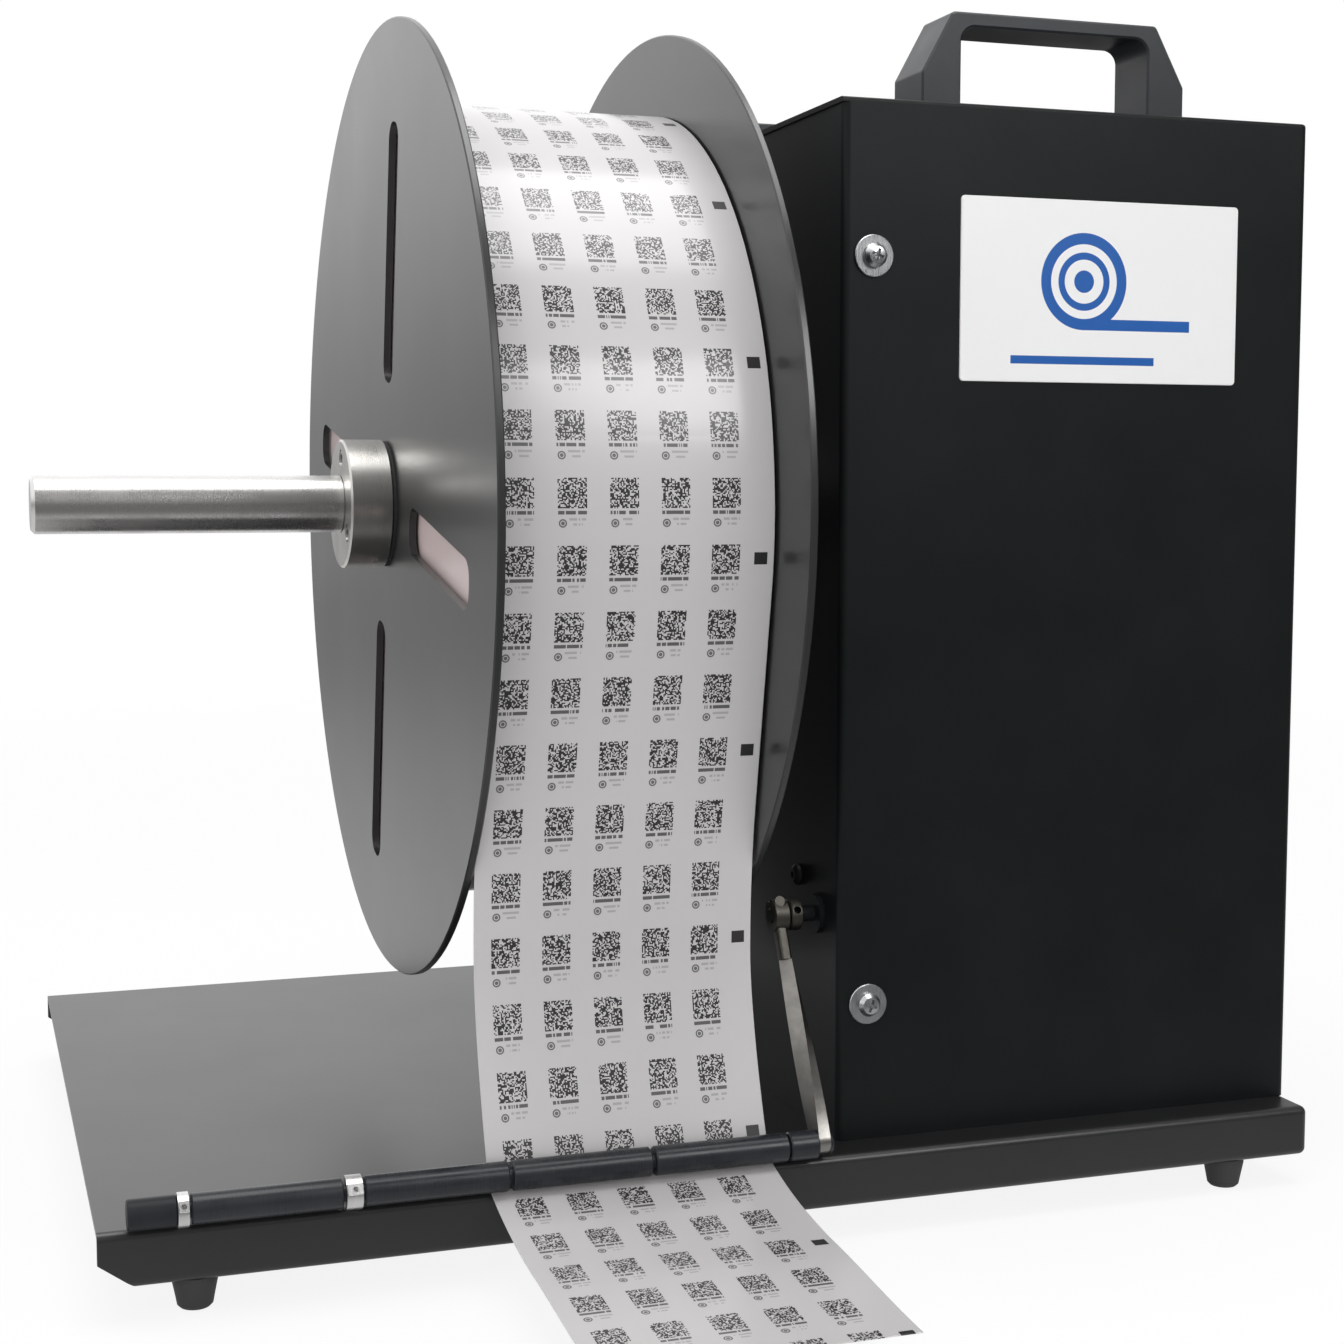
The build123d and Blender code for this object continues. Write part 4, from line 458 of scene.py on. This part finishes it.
MARK_OFFSET = 5.2 * mm


def rocker_material(name, y_centre, z_centre):
    """Glossy rocker key with a white bar above its middle and a white ring below it."""
    made, tree, shader = new_material(name)
    finish = add_group(tree, moulded_plastic, Colour=(0.012, 0.012, 0.013, 1), Roughness=0.22)
    _, _, place_y, place_z = object_place(tree)
    y = join_maths(tree, "SUBTRACT", place_y, y_centre)
    z = join_maths(tree, "SUBTRACT", place_z, z_centre)
    bar = add_group(tree, box_mask, Centre_Y=MARK_OFFSET, Half_X=0.35 * mm, Half_Y=1.7 * mm)
    tree.links.new(y, bar.inputs["X"])
    tree.links.new(z, bar.inputs["Y"])
    away = distance_from(tree, y, join_maths(tree, "ADD", z, MARK_OFFSET))
    ring = join_maths(tree, "MULTIPLY", join_maths(tree, "LESS_THAN", away, 1.8 * mm),
                      join_maths(tree, "GREATER_THAN", away, 1.15 * mm))
    white = join_maths(tree, "MAXIMUM", bar.outputs[0], ring)
    tree.links.new(mix_colours(tree, white, finish.outputs["Colour"], (0.75, 0.75, 0.75, 1)),
                   shader.inputs["Base Color"])
    tree.links.new(finish.outputs["Roughness"], shader.inputs["Roughness"])
    add_bump(tree, shader, finish.outputs["Height"], 0.05, 0.0001)
    return made


def paper_shader(tree, shader, printing, base):
    """Coated label paper: base colour, dark ink, faint ink, satin surface with a fine fibre bump."""
    place = tree.nodes.new("ShaderNodeTexCoord")
    fibres = tree.nodes.new("ShaderNodeTexNoise")
    fibres.inputs["Scale"].default_value = 1500.0
    tree.links.new(place.outputs["Object"], fibres.inputs["Vector"])
    toned = mix_colours(tree, join_maths(tree, "MULTIPLY", fibres.outputs["Fac"], 0.10), base,
                        (0.50, 0.48, 0.47, 1))
    faint = join_maths(tree, "MULTIPLY", printing.outputs["Faint"], 0.45)
    grey = mix_colours(tree, faint, toned, (0.16, 0.16, 0.17, 1))
    ink = join_maths(tree, "MULTIPLY", printing.outputs["Ink"], 0.97)
    colour = mix_colours(tree, ink, grey, (0.007, 0.007, 0.008, 1))
    add_bump(tree, shader, fibres.outputs["Fac"], 0.04, 0.0001)
    set_shader(shader, Roughness=0.45, Specular_IOR_Level=0.3, Coat_Weight=0.6, Coat_Roughness=0.17)
    return colour


PAPER = (0.53, 0.517, 0.52, 1)


def web_paper_material():
    made, tree, shader = new_material("printed_label_web")
    attribute = tree.nodes.new("ShaderNodeAttribute")
    attribute.attribute_name = "label_mm"
    printing = add_group(tree, label_print)
    tree.links.new(attribute.outputs["Vector"], printing.inputs["Place"])
    tree.links.new(paper_shader(tree, shader, printing, PAPER), shader.inputs["Base Color"])
    return made


def roll_paper_material(leave_angle):
    made, tree, shader = new_material("printed_label_roll")
    wrap = add_group(tree, roll_wrap, Leave_Angle=leave_angle)
    printing = add_group(tree, label_print)
    tree.links.new(wrap.outputs["Place"], printing.inputs["Place"])
    outside = paper_shader(tree, shader, printing, PAPER)
    layers = mix_colours(tree, wrap.outputs["Rings"], (0.78, 0.66, 0.65, 1), (0.60, 0.47, 0.47, 1))
    tree.links.new(mix_colours(tree, wrap.outputs["Side"], outside, layers), shader.inputs["Base Color"])
    return made


def plate_material(low, high):
    """White name plate with a plain blue pictogram: a wound roll, seen from its side, with its loose end."""
    made, tree, shader = new_material("plain_name_plate")
    point, place_x, _, place_z = object_place(tree)
    x = join_maths(tree, "DIVIDE", join_maths(tree, "SUBTRACT", place_x, (low[0] + high[0]) / 2), mm)
    z = join_maths(tree, "DIVIDE", join_maths(tree, "SUBTRACT", place_z, (low[1] + high[1]) / 2), mm)
    away = distance_from(tree, join_maths(tree, "SUBTRACT", x, -8.0), join_maths(tree, "SUBTRACT", z, 4.0))
    turns = join_maths(tree, "MULTIPLY", join_maths(tree, "LESS_THAN", away, 19.0),
                       join_maths(tree, "GREATER_THAN", away, 14.6))
    inner = join_maths(tree, "MULTIPLY", join_maths(tree, "LESS_THAN", away, 11.4),
                       join_maths(tree, "GREATER_THAN", away, 8.6))
    middle = join_maths(tree, "LESS_THAN", away, 4.4)
    blue = join_maths(tree, "MAXIMUM", join_maths(tree, "MAXIMUM", turns, inner), middle)
    for centre_x, centre_z, half_x, half_z in ((16.0, -12.8, 24.0, 2.2), (-8.0, -27.0, 32.0, 1.6)):
        bar = add_group(tree, box_mask, Centre_X=centre_x, Centre_Y=centre_z, Half_X=half_x, Half_Y=half_z)
        tree.links.new(x, bar.inputs["X"])
        tree.links.new(z, bar.inputs["Y"])
        blue = join_maths(tree, "MAXIMUM", blue, bar.outputs[0])
    grain = tree.nodes.new("ShaderNodeTexNoise")
    grain.inputs["Scale"].default_value = 900.0
    tree.links.new(point, grain.inputs["Vector"])
    white = mix_colours(tree, join_maths(tree, "MULTIPLY", grain.outputs["Fac"], 0.06), (0.82, 0.82, 0.82, 1),
                        (0.72, 0.72, 0.72, 1))
    tree.links.new(mix_colours(tree, blue, white, (0.0, 0.089, 0.37, 1)), shader.inputs["Base Color"])
    add_bump(tree, shader, grain.outputs["Fac"], 0.03, 0.0001)
    set_shader(shader, Roughness=0.35)
    return made


def panel_material():
    """Panel paint with a white ring of ticks about the speed knob: 11 ticks over 280 degrees."""
    made, tree, shader = new_material("panel_powder_coat")
    finish = add_group(tree, powder_coat, Colour=(0.010, 0.010, 0.011, 1), Roughness=0.42, Haze=0.06)
    _, _, place_y, place_z = object_place(tree)
    y = join_maths(tree, "SUBTRACT", place_y, knob_y)
    z = join_maths(tree, "SUBTRACT", place_z, knob_z)
    away = distance_from(tree, y, z)
    band = join_maths(tree, "MULTIPLY", join_maths(tree, "GREATER_THAN", away, 14.0 * mm),
                      join_maths(tree, "LESS_THAN", away, 17.5 * mm))
    angle = join_maths(tree, "ARCTAN2", y, z)
    step = math.radians(28.0)
    off = join_maths(tree, "SUBTRACT", join_maths(tree, "FRACT", join_maths(
        tree, "ADD", join_maths(tree, "DIVIDE", angle, step), 0.5)), 0.5)
    tick = join_maths(tree, "LESS_THAN", join_maths(tree, "MULTIPLY", join_maths(tree, "ABSOLUTE", off), away),
                      0.9 * mm)
    swept = join_maths(tree, "LESS_THAN", join_maths(tree, "ABSOLUTE", angle), math.radians(141.0))
    white = join_maths(tree, "MULTIPLY", join_maths(tree, "MULTIPLY", band, tick), swept)
    tree.links.new(mix_colours(tree, white, finish.outputs["Colour"], (0.7, 0.7, 0.7, 1)),
                   shader.inputs["Base Color"])
    tree.links.new(finish.outputs["Roughness"], shader.inputs["Roughness"])
    add_bump(tree, shader, finish.outputs["Height"], 0.1, 0.0002)
    return made


# ------------------------------------------------------------------ new pieces
def grid_mesh(name, grid, attribute=None):
    """Mesh of a (rows, columns, 3) grid of points, one quad per cell, and an optional vector per point."""
    rows, columns = grid.shape[:2]
    index = np.arange(rows * columns).reshape(rows, columns)
    quads = np.stack([index[:-1, :-1], index[1:, :-1], index[1:, 1:], index[:-1, 1:]], axis=-1).reshape(-1, 4)
    mesh = bpy.data.meshes.new(name)
    mesh.from_pydata(grid.reshape(-1, 3).tolist(), [], quads.tolist())
    if attribute is not None:
        layer = mesh.attributes.new("label_mm", "FLOAT_VECTOR", "POINT")
        layer.data.foreach_set("vector", attribute.reshape(-1).astype(np.float32))
    mesh.polygons.foreach_set("use_smooth", [True] * len(mesh.polygons))
    made = bpy.data.objects.new(name, mesh)
    bpy.context.scene.collection.objects.link(made)
    return made


def hermite(start, start_way, end, end_way, count):
    """Cubic from start to end with the given end tangents: the four Hermite weights at count values of t."""
    t = np.linspace(0, 1, count)[:, None]
    start, end = np.array(start), np.array(end)
    start_way, end_way = np.array(start_way), np.array(end_way)
    return ((2 * t**3 - 3 * t**2 + 1) * start + (t**3 - 2 * t**2 + t) * start_way
            + (3 * t**2 - 2 * t**3) * end + (t**3 - t**2) * end_way)


WEB_LEAN = math.radians(11.1)
WEB_GAP = 0.45 * mm
LEAD_UP = 0.42
TAIL_REACH = 134.0 * mm
WEB_THICKNESS = 0.3 * mm
WEB_RIM = 0.25 * mm
LEAD_DIP = 0.85 * mm


def web_path():
    """(y, z) points down the web's middle, and where along it the roll is left.
    An arc on the roll whose radius grows from under the surface to its full gap, a straight fall along the
    tangent, a slack belly, a turn of constant radius under the bar, and a tail that runs forward."""
    turn = np.linspace(-LEAD_UP, 0, 60) + WEB_LEAN
    radius = roll_r + WEB_GAP - LEAD_DIP * np.clip((WEB_LEAN - turn) / LEAD_UP, 0, 1) ** 2
    wrap = np.stack([spin_y - radius * np.cos(turn), spin_z - radius * np.sin(turn)], axis=1)
    fall = np.array([math.sin(WEB_LEAN), -math.cos(WEB_LEAN)])
    hang = wrap[-1] + fall * (spin_z - bar_z) * 0.34
    turn_r = bar_r + WEB_GAP
    enter_angle, exit_angle = math.radians(-24), math.radians(-70)
    angles = np.linspace(enter_angle, exit_angle, 10)
    under = np.stack([bar_y + turn_r * np.cos(angles), bar_z + turn_r * np.sin(angles)], axis=1)
    belly = under[0] + np.array([20.4 * mm, (hang[1] - under[0][1]) * 0.57])
    enter_way = np.array([math.sin(enter_angle), -math.cos(enter_angle)])
    exit_way = np.array([math.sin(exit_angle), -math.cos(exit_angle)])
    straight = np.linspace(wrap[-1], hang, 20)
    upper = hermite(hang, fall * 58 * mm, belly, np.array([0.01, -1.0]) * 62 * mm, 30)
    lower = hermite(belly, np.array([0.01, -1.0]) * 62 * mm, under[0], enter_way * 66 * mm, 40)
    dip = np.array([bar_y - TAIL_REACH * 0.45, bar_z - 16.2 * mm])
    tip = np.array([bar_y - TAIL_REACH, bar_z - 21.0 * mm])
    tail = np.concatenate([hermite(under[-1], exit_way * 52 * mm, dip, np.array([-60 * mm, -2.6 * mm]), 30)[1:],
                           hermite(dip, np.array([-66 * mm, -2.8 * mm]), tip, np.array([-74 * mm, -1.4 * mm]),
                                   30)[1:]])
    nearly = tail[-1] + (tail[-2] - tail[-1]) * (WEB_RIM / np.linalg.norm(tail[-2] - tail[-1]))
    path = np.concatenate([wrap, straight[1:], upper[1:], lower[1:], under[1:], tail[:-1], [nearly], tail[-1:]])
    return path, len(wrap) - 1


def make_loose_web():
    """The web: the path carried across the roll's width, 0.3 mm thick. Along is the length of the path from
    where it leaves the roll, across is measured from the left edge. The rows of the loose part stand a little
    further apart than those on the roll, hence the stretch."""
    path, leaves = web_path()
    steps = np.linalg.norm(np.diff(path, axis=0), axis=1)
    along = np.concatenate([[0], np.cumsum(steps)])
    along = (along - along[leaves]) / mm
    along = np.where(along > 0, along / LOOSE_STRETCH, along)
    across = np.concatenate([[roll_low.x], np.linspace(roll_low.x + WEB_RIM, roll_high.x - WEB_RIM, 12), [roll_high.x]])
    xs, ys = np.meshgrid(across, path[:, 0])
    _, zs = np.meshgrid(across, path[:, 1])
    grid = np.stack([xs, ys, zs], axis=-1)
    us, vs = np.meshgrid((across - roll_low.x) / mm, along)
    made = grid_mesh("loose_label_web", grid, np.stack([us, vs, np.zeros_like(us)], axis=-1))
    wall = made.modifiers.new("paper_thickness", "SOLIDIFY")
    wall.thickness = WEB_THICKNESS
    wall.offset = 0
    return made


PLATE_LOW = (49.7 * mm, 298.6 * mm)
PLATE_HIGH = (173.3 * mm, 370.0 * mm)


def make_name_plate():
    """Thin plate with rounded corners and a rim rolled off over 0.4 mm. Each loop of its outline is four
    quarter circles: point = corner's centre + radius * (cosine, sine)."""
    base_x, base_z = cover_low.x, cover_low.z
    centre = np.array([(PLATE_LOW[0] + PLATE_HIGH[0]) / 2 + base_x, (PLATE_LOW[1] + PLATE_HIGH[1]) / 2 + base_z])
    half = np.array([(PLATE_HIGH[0] - PLATE_LOW[0]) / 2, (PLATE_HIGH[1] - PLATE_LOW[1]) / 2])
    corner, per_corner = 1.6 * mm, 8
    quarter = np.linspace(0, math.pi / 2, per_corner)
    signs = np.repeat([[1, 1], [-1, 1], [-1, -1], [1, -1]], per_corner, axis=0)
    turns = np.concatenate([quarter, quarter + math.pi / 2, quarter + math.pi, quarter + 1.5 * math.pi])
    thickness = 0.8 * mm
    loops = []
    for depth, spread, inset in ((1.0, 0.0, 0), (1.0, 1.0, 0.4 * mm), (0.85, 1.0, 0.12 * mm), (0.5, 1.0, 0.0),
                                 (0.0, 1.0, 0.0), (0.0, 0.0, 0)):
        radius = corner - inset
        middle = (half - corner) * signs
        rim = middle + radius * np.stack([np.cos(turns), np.sin(turns)], axis=1)
        flat = rim * spread
        y = np.full(len(flat), cover_low.y - thickness * depth - 0.02 * mm * (depth > 0))
        loops.append(np.stack([flat[:, 0] + centre[0], y, flat[:, 1] + centre[1]], axis=1))
    grid = np.stack(loops)
    grid = np.concatenate([grid, grid[:, :1]], axis=1)
    made = grid_mesh("name_plate", grid)
    clean_up(made)
    made.data.polygons.foreach_set("use_smooth", [False] * len(made.data.polygons))
    return made, (centre[0] - half[0], centre[1] - half[1]), (centre[0] + half[0], centre[1] + half[1])


def clean_up(piece):
    """Merges doubled points and turns all faces outwards."""
    work = bmesh.new()
    work.from_mesh(piece.data)
    bmesh.ops.remove_doubles(work, verts=work.verts, dist=1e-7)
    bmesh.ops.dissolve_degenerate(work, edges=work.edges, dist=1e-8)
    bmesh.ops.recalc_face_normals(work, faces=work.faces)
    work.to_mesh(piece.data)
    work.free()


# ------------------------------------------------------------------ assembly
loose_web = make_loose_web()
loose_web.data.materials.append(web_paper_material())
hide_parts("label_web")
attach(loose_web, "frame_body")

name_plate, plate_low, plate_high = make_name_plate()
name_plate.data.materials.append(plate_material(plate_low, plate_high))
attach(name_plate, "frame_body")

power_low, power_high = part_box("power_rocker")
direction_low, direction_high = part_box("direction_rocker")
finishes = {
    "housing_cover": cover_paint,
    "side_panel": panel_material(),
    "base_tray": tray_paint,
    "inner_flange": flange_paint,
    "outer_flange": flange_paint,
    "spindle_shaft": shaft_steel,
    "inner_hub": hub_steel,
    "outer_hub": hub_steel,
    "label_roll": roll_paper_material(WEB_LEAN),
    "roll_core": core_card,
    "hub_gasket": fibre,
    "rubber_feet": foot_rubber,
    "drive_belt": belt_rubber,
    "front_handle": handle_plastic,
    "rear_handle": handle_plastic,
    "control_board": board_green,
    "power_rocker": rocker_material("power_rocker_gloss", (power_low.y + power_high.y) / 2,
                                    (power_low.z + power_high.z) / 2),
    "direction_rocker": rocker_material("direction_rocker_gloss", (direction_low.y + direction_high.y) / 2,
                                        (direction_low.z + direction_high.z) / 2),
    "guide_rings": ring_steel,
    "dancer_arm": arm_steel,
    "dancer_head": head_steel,
    "arm_collar": head_steel,
    "head_clamp_screw": head_steel,
    "sensor_screw": cover_paint,
    "roller_rod": bar_black,
    "pivot_shaft": cover_paint,
    "pivot_bush": cover_paint,
    "bearing_housing": pulley_aluminium,
    "spindle_pulley": pulley_aluminium,
    "motor_pulley": pulley_aluminium,
    "bearing_outer_rings": hub_steel,
    "bearing_inner_rings": hub_steel,
    "bearing_plate": mill_steel,
    "motor_bracket": mill_steel,
    "sensor_bracket": mill_steel,
}
for name in ("roller_1", "roller_2", "roller_3", "roller_4", "bar_root_sleeve"):
    finishes[name] = bar_black
finishes["bar_end_cap"] = cap_black
for name in ("power_switch", "direction_switch", "speed_knob", "speed_potentiometer", "dc_inlet",
             "gear_motor", "arm_sensor"):
    finishes[name] = dark_plastic
for name, piece in nodes.items():
    piece.data.materials.clear()
    piece.data.materials.append(finishes.get(name, zinc))


# ------------------------------------------------------------------ floor, light and camera
def make_floor():
    """Matt pale floor. Camera rays see it nearly white with the shadow kept, and fully white far out. Glossy
    rays see it fade to grey towards the user's side and far behind, so that dark fronts stay dark."""
    made = grid_mesh("pale_floor", np.array([[[-6, -6, -0.0006], [6, -6, -0.0006]],
                                             [[-6, 6, -0.0006], [6, 6, -0.0006]]], float))
    material, tree, shader = new_material("pale_floor")
    tree.nodes.remove(shader)
    matt = tree.nodes.new("ShaderNodeBsdfDiffuse")
    matt.inputs["Color"].default_value = (0.9, 0.9, 0.9, 1)
    glow = tree.nodes.new("ShaderNodeEmission")
    path = tree.nodes.new("ShaderNodeLightPath")
    camera, glossy = path.outputs["Is Camera Ray"], path.outputs["Is Glossy Ray"]
    point, _, y, _ = object_place(tree)
    near = remap_value(tree, y, -0.45, 0.02, 0.12, 0.95, smooth=True)
    far = remap_value(tree, y, 0.45, 2.4, 1.0, 0.5)
    reflected = join_maths(tree, "MULTIPLY", glossy, join_maths(tree, "MULTIPLY", near, far))
    strength = join_maths(tree, "ADD", camera, reflected)
    tree.links.new(strength, glow.inputs["Strength"])
    mixed = tree.nodes.new("ShaderNodeMixShader")
    reach = tree.nodes.new("ShaderNodeVectorMath")
    reach.operation = "LENGTH"
    tree.links.new(point, reach.inputs[0])
    clear = remap_value(tree, reach.outputs["Value"], 0.7, 2.2, 0.88, 1.0)
    share = join_maths(tree, "ADD", join_maths(tree, "MULTIPLY", camera, clear),
                       join_maths(tree, "MULTIPLY", glossy, 0.9))
    tree.links.new(share, mixed.inputs[0])
    tree.links.new(matt.outputs[0], mixed.inputs[1])
    tree.links.new(glow.outputs[0], mixed.inputs[2])
    tree.links.new(mixed.outputs[0], tree.nodes["Material Output"].inputs["Surface"])
    made.data.materials.append(material)


def make_world():
    """White to the camera. For glossy rays it is white to the left, above and behind, dimmer in a band about
    the horizon and dark on the user's side, as a studio with dark space behind the camera is. Other rays get
    an even soft light."""
    world = bpy.data.worlds.new("studio")
    bpy.context.scene.world = world
    world.use_nodes = True
    tree = world.node_tree
    shader = tree.nodes["Background"]
    shader.inputs["Color"].default_value = (1, 1, 1, 1)
    direction = tree.nodes.new("ShaderNodeTexCoord").outputs["Generated"]
    parts = tree.nodes.new("ShaderNodeSeparateXYZ")
    tree.links.new(direction, parts.inputs[0])
    x, y, z = parts.outputs
    side = join_maths(tree, "MULTIPLY", x, -0.9)
    back = join_maths(tree, "MULTIPLY", y, 0.55)
    up = join_maths(tree, "MULTIPLY", z, 0.35)
    total = join_maths(tree, "ADD", join_maths(tree, "ADD", side, back), up)
    ramp = remap_value(tree, total, -0.22, 0.55, 0.34, 1.45, smooth=True)
    height = join_maths(tree, "DIVIDE", z, 0.13)
    band = join_maths(tree, "EXPONENT", join_maths(tree, "MULTIPLY", join_maths(tree, "MULTIPLY", height, height),
                                                   -1.0))
    leftward = remap_value(tree, x, -0.12, -0.30, 0.45, 0.85)
    dimmed = join_maths(tree, "SUBTRACT", 1.0, join_maths(tree, "MULTIPLY", band, leftward))
    path = tree.nodes.new("ShaderNodeLightPath")
    even = join_maths(tree, "MULTIPLY", join_maths(tree, "SUBTRACT", 1.0, path.outputs["Is Glossy Ray"]), 0.52)
    shine = join_maths(tree, "MULTIPLY", path.outputs["Is Glossy Ray"],
                       join_maths(tree, "MULTIPLY", ramp, dimmed))
    seen = join_maths(tree, "ADD", even, shine)
    strength = join_maths(tree, "MAXIMUM", seen, path.outputs["Is Camera Ray"])
    tree.links.new(strength, shader.inputs["Strength"])


def add_area(name, place, target, size, power):
    light = bpy.data.lights.new(name, "AREA")
    light.shape = "RECTANGLE"
    light.size, light.size_y = size
    light.energy = power
    made = bpy.data.objects.new(name, light)
    bpy.context.scene.collection.objects.link(made)
    way = Vector(target) - Vector(place)
    made.matrix_world = Matrix.Translation(place) @ way.to_track_quat("-Z", "Y").to_matrix().to_4x4()
    return made


def make_camera():
    """Camera at the photograph's place: yaw 18.55 degrees to the right of +Y and pitch 4.98 degrees down."""
    yaw, pitch, roll = 0.32379, 0.08691, 0.0004
    ahead = Vector((math.sin(yaw) * math.cos(pitch), math.cos(yaw) * math.cos(pitch), -math.sin(pitch)))
    right = Vector((math.cos(yaw), -math.sin(yaw), 0))
    up = right.cross(ahead)
    turned_right = right * math.cos(roll) + up * math.sin(roll)
    turned_up = up * math.cos(roll) - right * math.sin(roll)
    data = bpy.data.cameras.new("photo_camera")
    data.sensor_width = 36.0
    data.sensor_fit = "HORIZONTAL"
    data.lens = 57.957
    data.clip_start, data.clip_end = 0.05, 50
    made = bpy.data.objects.new("photo_camera", data)
    bpy.context.scene.collection.objects.link(made)
    turn = Matrix((turned_right, turned_up, -ahead)).transposed()
    made.matrix_world = Matrix.Translation((-0.28947, -0.87062, 0.29120)) @ turn.to_4x4()
    bpy.context.scene.camera = made


make_floor()
make_world()
add_area("key_left_front", (-1.5, -1.3, 1.7), (-0.05, 0, 0.25), (1.4, 1.2), 7).visible_glossy = False
add_area("top_soft", (0.0, -0.1, 2.1), (0, 0, 0.3), (1.6, 1.2), 29)
add_area("front_fill", (-0.5, -2.1, 0.45), (0, 0, 0.10), (1.5, 0.8), 10).visible_glossy = False
add_area("upper_front_shine", (0.50, -1.05, 0.92), (0.0, -0.1, 0.12), (0.55, 0.45), 6.0).visible_diffuse = False
make_camera()
bpy.context.scene.view_settings.view_transform = "Standard"
